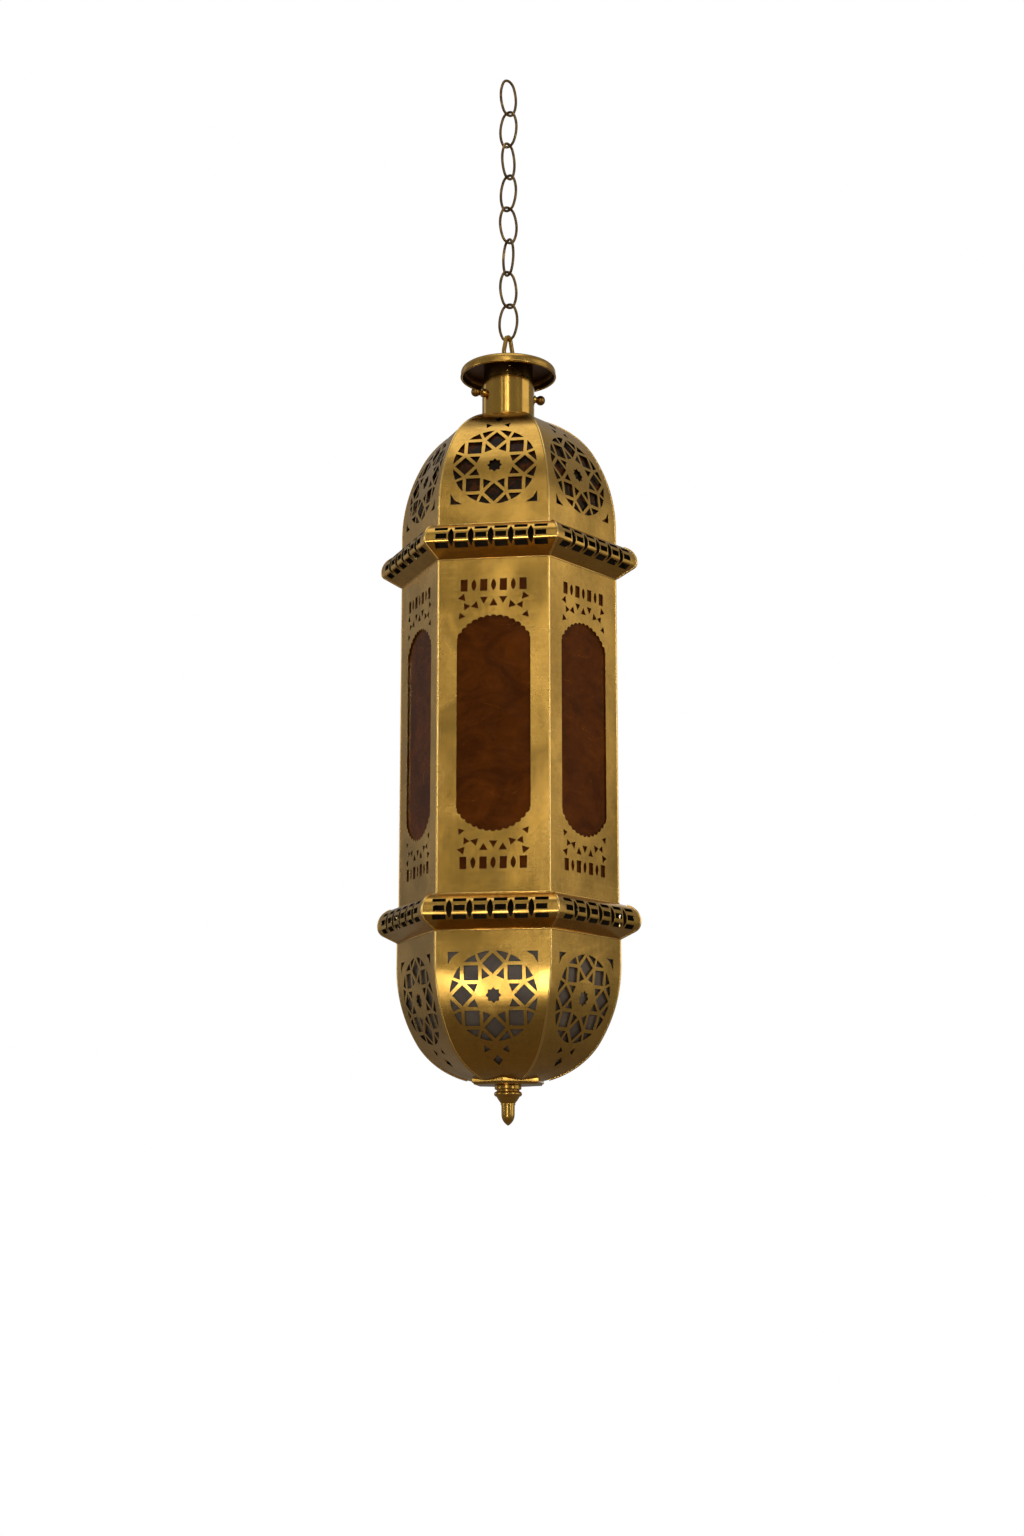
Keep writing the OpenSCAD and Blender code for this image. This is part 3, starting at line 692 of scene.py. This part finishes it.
class LANTERN_OT_cap(bpy.types.Operator):
    """Spins the dished cap, files up the cast loop and sets the rivets under the cap"""
    bl_idname = "lantern.cap"
    bl_label = "Cap and loop"

    def execute(self, context):
        sheet, roll, bead_r, hole = 1.2 * MM, 5 * MM, 1.1 * MM, 5 * MM
        crown = CAP_RIM + 9.4 * MM
        bead = (CAP_R - sheet / 2, CAP_RIM + 0.6 * MM)
        centre = (CAP_R - roll, crown - roll)
        top = [(hole, CAP_TOP), (18 * MM, CAP_TOP), (30 * MM, CAP_TOP - 0.8 * MM)]
        profile = top + arc(centre, roll, 86, 0, 10) + arc(bead, bead_r, 60, -240, 12)
        profile += arc(centre, roll - sheet, 0, 86, 8) + [(r, z - sheet) for r, z in reversed(top)]
        cap = turned("cap_dish", profile, 128)
        # The downward faces inside the dish take the underside finish, painted shade.
        dish_r, dish_low = CAP_R - 0.9 * sheet, CAP_RIM + 1.8 * MM
        for face in cap.data.polygons:
            inside = math.hypot(face.center.x, face.center.y) < dish_r and face.normal.z < 0.05
            face.material_index = 1 if inside and face.center.z > dish_low else 0
        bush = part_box("wire_bush")
        drill(cap, 3.5 * MM, 12 * MM, (bush[0] + bush[1]) / 2)
        settle(cap, 35)
        mount_on(give(cap, "cap", "underside"), "cap", "worn_brass", "cap_disc")

        loop = node_copy("hanging_loop", "cast_loop")
        round_edges(loop, 0.55 * MM, segments=3)
        mount_on(give(loop, "polished"), "cap", "polished_brass", "hanging_loop")

        low_corner, high_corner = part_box("cap_sleeve")
        out, low, high = high_corner.x, low_corner.z, high_corner.z
        wall, lip = 1.2 * MM, 0.3 * MM
        sleeve = turned("cap_collar", [(out, high), (out, low + lip), (out - lip, low), (out - wall, low),
                                       (out - wall, high)], 128)
        settle(sleeve, 40)
        # The collar takes the dark finish as painted shade, for the shadow under the cap.
        mount_on(give(sleeve, "dark"), "cap", "worn_brass", "cap_sleeve")

        rivets = []
        seat = out - 0.9 * MM
        for below_cap, lean in ((7.2 * MM, 3), (12.0 * MM, -2)):
            head = turned("rivet", in_mm([(1.0, 0), (1.0, 0.9), (0.9, 1.15), (0.6, 1.35), (0.3, 1.45),
                                          (0, 1.5)]), 20, tube=False)
            front = math.radians(RIVET_TURN + lean) - QUARTER
            head.rotation_euler = (0, QUARTER, front)
            head.location = (seat * math.cos(front), seat * math.sin(front), CAP_TOP - below_cap)
            rivets.append(settle(head, 60))
        mount_on(give(joined(rivets, "collar_rivets"), "bead"), "cap", "worn_brass")
        return {"FINISHED"}


def screw_line():
    """The height of the thumb screws, and the direction of the right-hand one."""
    low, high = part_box("thumb_screw_1")
    middle = (low + high) / 2
    return middle.z, math.atan2(middle.y, middle.x)


class LANTERN_OT_neck(bpy.types.Operator):
    """Turns the neck tube with its rolled lip and the solder collar at its foot"""
    bl_idname = "lantern.neck"
    bl_label = "Neck tube"

    def execute(self, context):
        wall, lip = 1.2 * MM, 0.25 * MM
        inner = NECK_R - wall
        profile = [(NECK_R, NECK_LOW), (NECK_R, NECK_HIGH - lip), (NECK_R - lip, NECK_HIGH),
                   (inner + lip, NECK_HIGH), (inner, NECK_HIGH - lip), (inner, NECK_LOW)]
        tube = turned("neck_sleeve", profile, 160)
        level, turn = screw_line()
        drill(tube, 2.05 * MM, 80 * MM, (0, 0, level), (0, QUARTER, turn), sides=32)
        settle(tube, 35)
        mount_on(give(tube, "polished"), "lantern", "polished_brass", "neck_tube")

        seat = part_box("upper_gore_1")[1].z
        solder = arc((NECK_R + 0.3 * MM, seat + 0.1 * MM), 1.3 * MM, -150, 150, 12)
        collar = turned("neck_solder", solder, 128)
        settle(collar, 60)
        mount_on(give(collar, "sheet"), "lantern", "worn_brass")
        return {"FINISHED"}


class LANTERN_OT_screws(bpy.types.Operator):
    """Turns a round-headed thumb screw and its boss, one for each side of the neck"""
    bl_idname = "lantern.screws"
    bl_label = "Thumb screws"

    def execute(self, context):
        level, turn = screw_line()
        tip, head, stem = 23.7 * MM, 28.7 * MM, 2 * MM
        threads, thread_pitch, thread_depth = 5, 0.9 * MM, 0.22 * MM
        profile = [(stem - 0.4 * MM, tip), (stem, tip + 0.4 * MM)]
        for i in range(threads):
            z = tip + (i + 1) * thread_pitch
            profile += [(stem, z), (stem - thread_depth, z + thread_pitch / 2)]
        profile += [(stem, head - 0.05 * MM)] + in_mm([(2.9, 0), (3.1, 0.7), (2.7, 1.1)], head)
        profile += arc((0.4 * MM, head + 4.6 * MM), 4.3 * MM, -56, 84, 14) + [(0, head + 8.9 * MM)]
        screw = turned("screw", profile, 48, tube=False)
        settle(screw, 30)
        foot, rim, bore, boss_r, chamfer = NECK_R - 0.4 * MM, NECK_R + 2.5 * MM, 2.1 * MM, 4.2 * MM, 0.5 * MM
        boss = turned("boss", [(bore, rim), (boss_r - chamfer, rim), (boss_r, rim - chamfer), (boss_r, foot),
                               (bore, foot)], 48)
        settle(boss, 35)
        bosses = []
        for k, side in ((1, "right"), (2, "left")):
            angle = turn + math.pi * (k - 1)
            for part, name in ((screw, f"screw_knob_{side}"), (boss, f"boss_{side}")):
                laid = own_copy(part, name)
                laid.rotation_euler = (0, QUARTER, angle)
                laid.location = (0, 0, level)
                bake(laid)
                if part is screw:
                    mount_on(give(laid, "dark"), f"screw_{side}", "dark_brass", f"thumb_screw_{k}")
                else:
                    bosses.append(laid)
        mount_on(give(joined(bosses, "neck_bosses"), "turned"), "lantern", "worn_brass", "screw_bosses")
        bpy.data.objects.remove(screw)
        bpy.data.objects.remove(boss)
        return {"FINISHED"}


# ---- sheet work

def panel_core(centre):
    return Vector((centre.x, -WALL + SHEET / 2, centre.z))


def dome_core(base):
    """Points on the dome's base, across the axis: everything outward from them is outside."""
    def core(centre):
        return Vector((centre.x, 0, base))
    return core


def ring_core(base):
    """A point on the middle line of a ring's moulding."""
    def core(centre):
        return Vector((centre.x, -WALL - RING_MIDDLE, base))
    return core


def side_core(core):
    """The same for a whole ring: works on the side of the hexagon that the face lies on."""
    def found(centre):
        side = round((math.atan2(centre.y, centre.x) + math.pi / 2) / SIDE_TURN)
        turn = side * SIDE_TURN
        flat = core(Vector((centre.x * math.cos(-turn) - centre.y * math.sin(-turn), 0, centre.z)))
        return Vector((flat.x * math.cos(turn) - flat.y * math.sin(turn),
                       flat.x * math.sin(turn) + flat.y * math.cos(turn), flat.z))
    return found


class LANTERN_OT_body_panels(bpy.types.Operator):
    """Files and wears the six pierced panels"""
    bl_idname = "lantern.body_panels"
    bl_label = "Body panels"

    def execute(self, context):
        sizes = context.scene.lantern_sizes
        panel = node_copy("body_panel_1", "pierced_panel")
        wobble(panel, sizes.hand_wobble, 0.011, "X")
        sort_faces(panel, panel_core, 0.7)
        round_edges(panel, sizes.cut_edge, slot=1)
        give(panel, "sheet", "edge", "inside")
        for k, made in enumerate(all_round(panel, numbered("pierced_panel")), 1):
            mount_on(made, "lantern", "worn_brass", f"body_panel_{k}")
        return {"FINISHED"}


class LANTERN_OT_domes(bpy.types.Operator):
    """Files and wears the gores of both domes"""
    bl_idname = "lantern.domes"
    bl_label = "Domes"

    def execute(self, context):
        sizes = context.scene.lantern_sizes
        for which, base in (("upper", UPPER_BASE), ("lower", LOWER_BASE)):
            gore = node_copy(f"{which}_gore_1", f"{which}_pierced_gore")
            wobble(gore, sizes.hand_wobble * 0.8, 0.013, "X")
            sort_faces(gore, dome_core(base), 0.3)
            round_edges(gore, sizes.cut_edge, slot=1)
            give(gore, "sheet", "edge", "inside")
            for k, made in enumerate(all_round(gore, numbered(f"{which}_pierced_gore")), 1):
                mount_on(made, "lantern", "worn_brass", f"{which}_gore_{k}")
        return {"FINISHED"}


def corner_web(level):
    """A dark plate that closes the end of a ring's length at its mitre, put inside the channel as painted
    shade.
    """
    inner, outer = (WALL + 0.5 * MM) * CORNER, (RING_OUT - 2.5 * MM) * CORNER
    half_height = 10.5 * MM
    middle = (inner + outer) / 2
    make_active(None)
    bpy.ops.mesh.primitive_circle_add(vertices=24, radius=1, fill_type="NGON")
    web = bpy.context.object
    web.scale = ((outer - inner) / 2, half_height, 1)
    bake(web)
    web.rotation_euler = (QUARTER, 0, CORNER_ANGLE)
    web.location = (middle * math.cos(CORNER_ANGLE), middle * math.sin(CORNER_ANGLE), level)
    bake(web)
    modifier(web, "SOLIDIFY", thickness=0.6 * MM, offset=0)
    return settle(web)


class LANTERN_OT_rings(bpy.types.Operator):
    """Files and wears the two pierced rings"""
    bl_idname = "lantern.rings"
    bl_label = "Rings"

    def execute(self, context):
        sizes = context.scene.lantern_sizes
        for which in ("upper", "lower"):
            low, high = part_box(f"{which}_ring")
            middle = (low.z + high.z) / 2
            ring = node_copy(f"{which}_ring", f"{which}_pierced_ring")
            sort_faces(ring, side_core(ring_core(middle)), 0.15)
            round_edges(ring, sizes.cut_edge, slot=1)
            give(ring, "sheet", "edge", "inside")
            mount_on(ring, "lantern", "worn_brass", f"{which}_ring")
            webs = joined(all_round(corner_web(middle), numbered("web")), f"{which}_ring_webs")
            # The webs take the near-black inside finish, painted shade inside the ring's channel.
            mount_on(give(webs, "inside"), "lantern", "worn_brass")
        return {"FINISHED"}


# ---- seams

# a gore's middle line: wall, straight height, shoulder radius, crown radius and where they meet, in degrees
UPPER_ARCS = (WALL, 16.8 * MM, 160 * MM, 78 * MM, 26.6)
LOWER_ARCS = (LOWER_WALL, 24 * MM, 150 * MM, 68 * MM, 27.0)
# a ring's rounded lower edge: its radius and where it ends, in degrees
UPPER_RING_EDGE = (5 * MM, -55)
LOWER_RING_EDGE = (9 * MM, -60)
RING_SHOULDER_R, RING_EDGE_DROP = 15 * MM, 1.5 * MM


def dome_line(arcs, stop):
    """Points (distance from axis, height above the base) up the middle of a gore, to a given distance."""
    flat, straight, side_r, crown_r, split = arcs
    side_c = (flat - side_r, straight)
    turn = math.radians(split)
    reach = side_r - crown_r
    crown_c = (side_c[0] + reach * math.cos(turn), side_c[1] + reach * math.sin(turn))
    line = [(flat, 0.0)] + arc(side_c, side_r, 0, split, 14) + arc(crown_c, crown_r, split, 84, 20)[1:]
    return [p for p in line if p[0] >= stop]


def ridge(line, base, up, sink):
    """The line moved out to a corner of the hexagon, with its bead sunk a little."""
    return [((a * CORNER - sink) * math.cos(CORNER_ANGLE), (a * CORNER - sink) * math.sin(CORNER_ANGLE),
             base + up * z) for a, z in line]


def ring_line(edge, middle):
    """Points (distance from axis, height) down a ring's moulding, from its shoulder to its underside."""
    low_r, low_turn = edge
    shoulder_c = (RING_OUT - RING_SHOULDER_R, middle)
    low_c = (RING_OUT - low_r, middle - RING_EDGE_DROP)
    line = arc(shoulder_c, RING_SHOULDER_R, 72, 0, 10) + arc(low_c, low_r, 0, low_turn, 6)
    out, level = line[-1]
    run = out - LOWER_WALL
    return line + [(LOWER_WALL, level - run / math.tan(math.radians(-low_turn)))]


class LANTERN_OT_seams(bpy.types.Operator):
    """Lays the solder beads up the ridges and corners and the folded edges above and below the panels"""
    bl_idname = "lantern.seams"
    bl_label = "Seams and folds"

    def execute(self, context):
        sizes = context.scene.lantern_sizes
        bead, sink = sizes.seam_r, sizes.seam_r * 0.6
        upper = ridge(dome_line(UPPER_ARCS, NECK_R - 2 * MM), UPPER_BASE, 1, sink)
        lower = ridge(dome_line(LOWER_ARCS, 30 * MM), LOWER_BASE, -1, sink)
        corner = ridge([(WALL, 0.0), (WALL, BODY_HIGH - BODY_LOW)], BODY_LOW, 1, sink)
        ring_half = (UPPER_BASE - BODY_HIGH) / 2
        upper_ring = ridge(ring_line(UPPER_RING_EDGE, UPPER_BASE - ring_half), 0, 1, sink)
        lower_ring = ridge(ring_line(LOWER_RING_EDGE, BODY_LOW - ring_half), 0, 1, sink)
        for line, name in ((upper, "upper_ridge_beads"), (lower, "lower_ridge_beads"),
                           (corner, "corner_beads"), (upper_ring, "upper_ring_mitres"),
                           (lower_ring, "lower_ring_mitres")):
            first = rod(name, line, bead, sides=4)
            beads = joined(all_round(first, numbered(name)), name)
            mount_on(give(beads, "bead"), "lantern", "worn_brass")

        folds = []
        for wall, height in ((WALL, BODY_LOW + 0.2 * MM), (WALL, BODY_HIGH - 0.2 * MM),
                             (WALL, UPPER_BASE + 0.3 * MM), (LOWER_WALL, LOWER_BASE - 0.3 * MM)):
            out = wall * CORNER
            hexagon = [(out * math.cos(SIDE_TURN * (k - 1)), out * math.sin(SIDE_TURN * (k - 1)), height)
                       for k in range(SIDES)]
            folds.append(rod("fold", hexagon, sizes.fold_r, closed=True))
        mount_on(give(joined(folds, "panel_folds"), "bead"), "lantern", "worn_brass")
        return {"FINISHED"}


# ---- glass, liner and lamp

class LANTERN_OT_panes(bpy.types.Operator):
    """Rolls the rippled amber panes"""
    bl_idname = "lantern.panes"
    bl_label = "Amber panes"

    def execute(self, context):
        sizes = context.scene.lantern_sizes
        low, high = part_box("amber_pane_1")
        span = high - low
        front = Vector(((low.x + high.x) / 2, low.y + sizes.ripple / 2, (low.z + high.z) / 2))
        make_active(None)
        bpy.ops.mesh.primitive_grid_add(x_subdivisions=24, y_subdivisions=78, size=1, location=front,
                                        rotation=(QUARTER, 0, 0))
        pane = context.object
        pane.scale = (span.x, span.z, 1)
        bake(pane)
        texture = bpy.data.textures.new("pane_ripple", "CLOUDS")
        texture.noise_scale, texture.noise_depth = 0.019, 1
        modifier(pane, "DISPLACE", texture=texture, texture_coords="LOCAL", direction="Y",
                 strength=sizes.ripple, mid_level=0.5)
        modifier(pane, "SOLIDIFY", thickness=span.y - sizes.ripple, offset=-1)
        settle(pane, 40)
        give(pane, "amber")
        for k, made in enumerate(all_round(pane, numbered("rippled_pane")), 1):
            mount_on(made, "lantern", "amber_glass", f"amber_pane_{k}")
        return {"FINISHED"}


class LANTERN_OT_liner(bpy.types.Operator):
    """Smooths the glass sheets that line the two domes"""
    bl_idname = "lantern.liner"
    bl_label = "Dome liners"

    def execute(self, context):
        # The upper liner's near-black finish is painted shade.
        for node, name, finish, slot in (("upper_liner", "painted_shade_sheets", "shade_liner", "amber_glass"),
                                         ("lower_diffuser", "frosted_sheets", "frosted", "frosted_glass")):
            liner = node_copy(node, name)
            round_edges(liner, 0.3 * MM, angle=50)
            mount_on(give(liner, finish), "lantern", slot, node)
        return {"FINISHED"}


class LANTERN_OT_lamp(bpy.types.Operator):
    """Finishes the lampholder, bulb and inner fittings in their own materials"""
    bl_idname = "lantern.lamp"
    bl_label = "Lamp and fittings"

    def execute(self, context):
        for finish, names in (("polished", ("threaded_nipple", "lampholder_contacts")),
                              ("turned", ("cap_nut", "lampholder_cup", "lampholder_shell", "finial_nut")),
                              # The pane clips take the near-black inside finish, painted shade.
                              ("inside", ("pane_clips",)), ("porcelain", ("lampholder_core",)),
                              ("bush", ("wire_bush",)), ("nickel", ("bulb_cap",)),
                              ("clear", ("bulb_glass",)), ("filament", ("bulb_filament",))):
            for name in names:
                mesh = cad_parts[name].data
                mesh.materials.clear()
                mesh.materials.append(FINISHES[finish])
        return {"FINISHED"}


# ---- base

class LANTERN_OT_base(bpy.types.Operator):
    """Files the hexagonal plate and turns the drop finial"""
    bl_idname = "lantern.base"
    bl_label = "Base plate and finial"

    def execute(self, context):
        plate = node_copy("base_plate", "hexagon_plate")
        round_edges(plate, 0.7 * MM, segments=3)
        mount_on(give(plate, "sheet"), "lantern", "worn_brass", "base_plate")

        top, torus_r, tip_r = PLATE_LOW, 2.3 * MM, 10.98 * MM
        profile = in_mm([(3, -12.4), (3, 0), (11.6, 0), (12.2, 0.5), (12.2, 3.3), (11.7, 3.9), (10.4, 4.3),
                         (10.2, 5.5)], top, -1)
        profile += arc((10.4 * MM, top - 7.9 * MM), torus_r, 78, -70, 12)
        profile += in_mm([(10.4, 10.5), (9.3, 12.4), (8.2, 14), (7.1, 15.4), (6.5, 16.5), (6.7, 17),
                          (6.7, 17.6), (6.1, 18), (6.0, 26.2)], top, -1)
        profile += arc((-5 * MM, top - 26.4 * MM), tip_r, -2, -60, 10) + [(0, top - 36.18 * MM)]
        drop = turned("turned_drop", profile, 72, tube=False)
        settle(drop, 30)
        mount_on(give(drop, "turned"), "lantern", "polished_brass", "finial")
        return {"FINISHED"}


# ---- studio

WHITE, WARM, WARMER = (1, 1, 1), (1, 0.97, 0.92), (1, 0.97, 0.9)
# each softbox: turn from the front towards the right, rise, distance, width and height, power, tint
SOFTBOXES = {
    "front_strip": (-2, 17, 2.3, (0.17, 2.1), 3.0, WARMER),
    "neck_strip": (7, 18, 2.4, (0.15, 0.8), 4.2, WARMER),
    "side_strip": (-19, 14, 2.3, (0.10, 1.3), 0.9, WARMER),
    "front_low": (-6, -17, 2.2, (0.24, 0.62), 4.2, WARMER),
    "left_edge": (-69, 8, 2.3, (0.5, 1.1), 4.5, WHITE),
    "right_edge": (51, 8, 2.3, (0.4, 1.1), 7, WARM),
    "right_panel": (92, 8, 2.3, (1.5, 2.0), 8, WARM),
    "left_panel": (-118, 8, 2.6, (0.6, 2.0), 1.8, WHITE),
    "overhead": (10, 78, 2.2, (1.4, 1.4), 6, WHITE),
    "back": (178, 14, 2.6, (1.4, 1.8), 4, WHITE),
}
# the room that the brass reflects: how far up (0 is straight down, 1 straight up) and how bright
ROOM_GREYS = ((0.0, 0.13), (0.20, 0.13), (0.36, 0.18), (0.47, 0.13), (0.60, 0.19), (1.0, 0.40))


def soft_light(name, turn, rise, distance, size, energy, tint):
    """A softbox that stands out there and faces the lantern's middle."""
    lamp = bpy.data.lights.new(name, "AREA")
    lamp.shape, lamp.energy, lamp.color = "RECTANGLE", energy, tint
    lamp.size, lamp.size_y = size
    stand = bpy.data.objects.new(name, lamp)
    bpy.context.scene.collection.objects.link(stand)
    middle = Vector((0, 0, (BODY_LOW + BODY_HIGH) / 2))
    turn, rise = math.radians(turn), math.radians(rise)
    away = Vector((math.sin(turn) * math.cos(rise), -math.cos(turn) * math.cos(rise), math.sin(rise)))
    stand.location = middle + away * distance
    stand.rotation_euler = away.to_track_quat("Z", "Y").to_euler()


def room_colour(position, grey):
    """The room's grey, warmer towards the floor."""
    warm = 1 - 0.5 * max(0.5 - position, 0)
    return (grey, grey * 0.97 * warm, grey * 0.92 * warm * warm, 1)


def make_world(world, backdrop):
    """A bright plain backdrop for the camera, and a dim room for everything else to see."""
    sky = Sky(world)
    rise = sky.node("ShaderNodeSeparateXYZ", None, {0: sky.place}).outputs["Z"]
    position = sky.node("ShaderNodeMapRange", None, {"Value": rise, "From Min": -1}).outputs[0]
    stops = [(at, room_colour(at, grey)) for at, grey in ROOM_GREYS]
    ramp = sky.node("ShaderNodeValToRGB", {"stops": stops}, {0: position})
    room = sky.node("ShaderNodeBackground", None, {"Color": ramp.outputs[0]})
    plain_white = sky.node("ShaderNodeBackground", None, {"Color": (1, 1, 1, 1), "Strength": backdrop})
    seen = sky.node("ShaderNodeLightPath").outputs["Is Camera Ray"]
    mix = sky.node("ShaderNodeMixShader", None, {0: seen, 1: room.outputs[0], 2: plain_white.outputs[0]})
    sky.node("ShaderNodeOutputWorld", None, {0: mix.outputs[0]})


class LANTERN_OT_studio(bpy.types.Operator):
    """Sets up the pale floor, the soft lights and the camera"""
    bl_idname = "lantern.studio"
    bl_label = "Studio"

    def execute(self, context):
        scene = context.scene
        studio, colours = scene.lantern_studio, scene.lantern_colours
        scene.view_settings.view_transform = "Standard"
        scene.world = bpy.data.worlds.new("studio")
        make_world(scene.world, studio.backdrop)

        make_active(None)
        bpy.ops.mesh.primitive_circle_add(vertices=96, radius=1.1, fill_type="NGON", location=(0, 0, -1.6))
        floor = context.object
        floor.name = "studio_floor"
        bpy.ops.object.transform_apply(location=True)
        f = Finish("pale_floor")
        cloud = f.noise(3, 3, 0.5)
        colour = f.blend(cloud.rise(0.4, 0.6), colours.floor, colours.floor_cloud)
        floor.data.materials.append(f.cover(Base_Color=colour, Roughness=0.8 + cloud * 0.1))
        floor.visible_glossy = False

        for name, setting in SOFTBOXES.items():
            soft_light(name, *setting)

        camera = bpy.data.cameras.new("camera")
        camera.lens, camera.sensor_width = studio.lens_mm, 36
        stand = bpy.data.objects.new("camera", camera)
        scene.collection.objects.link(stand)
        out, turn = studio.camera_distance, studio.camera_turn
        stand.location = (out * math.sin(turn), -out * math.cos(turn), studio.camera_height)
        stand.rotation_euler = (QUARTER + studio.camera_tilt, 0, turn - studio.camera_yaw)
        scene.camera = stand
        return {"FINISHED"}


class LANTERN_OT_finishes(bpy.types.Operator):
    """Mixes the finishes that every piece is given"""
    bl_idname = "lantern.finishes"
    bl_label = "Finishes"

    def execute(self, context):
        make_finishes(context.scene.lantern_colours)
        return {"FINISHED"}


# ---- add-on

STEPS = (LANTERN_OT_finishes, LANTERN_OT_chain, LANTERN_OT_cap, LANTERN_OT_neck, LANTERN_OT_screws,
         LANTERN_OT_domes, LANTERN_OT_rings, LANTERN_OT_body_panels, LANTERN_OT_seams, LANTERN_OT_panes,
         LANTERN_OT_liner, LANTERN_OT_lamp, LANTERN_OT_base, LANTERN_OT_studio)
SETTINGS = {"lantern_sizes": LanternSizes, "lantern_colours": LanternColours,
            "lantern_studio": StudioSettings}


class LANTERN_PT_panel(bpy.types.Panel):
    """Buttons for each group of pieces"""
    bl_label = "Hanging lantern"
    bl_space_type = "VIEW_3D"
    bl_region_type = "UI"
    bl_category = "Lantern"

    def draw(self, context):
        for name, group in SETTINGS.items():
            box = self.layout.box()
            for field in group.__annotations__:
                box.prop(getattr(context.scene, name), field)
        for step in STEPS:
            self.layout.operator(step.bl_idname)


CLASSES = (*SETTINGS.values(), *STEPS, LANTERN_PT_panel)


def register():
    for cls in CLASSES:
        bpy.utils.register_class(cls)
    for name, group in SETTINGS.items():
        setattr(bpy.types.Scene, name, bpy.props.PointerProperty(type=group))


def unregister():
    for name in SETTINGS:
        delattr(bpy.types.Scene, name)
    for cls in reversed(CLASSES):
        bpy.utils.unregister_class(cls)


def main():
    register()
    for step in STEPS:
        group, name = step.bl_idname.split(".")
        getattr(getattr(bpy.ops, group), name)()


if __name__ == "__main__":
    main()
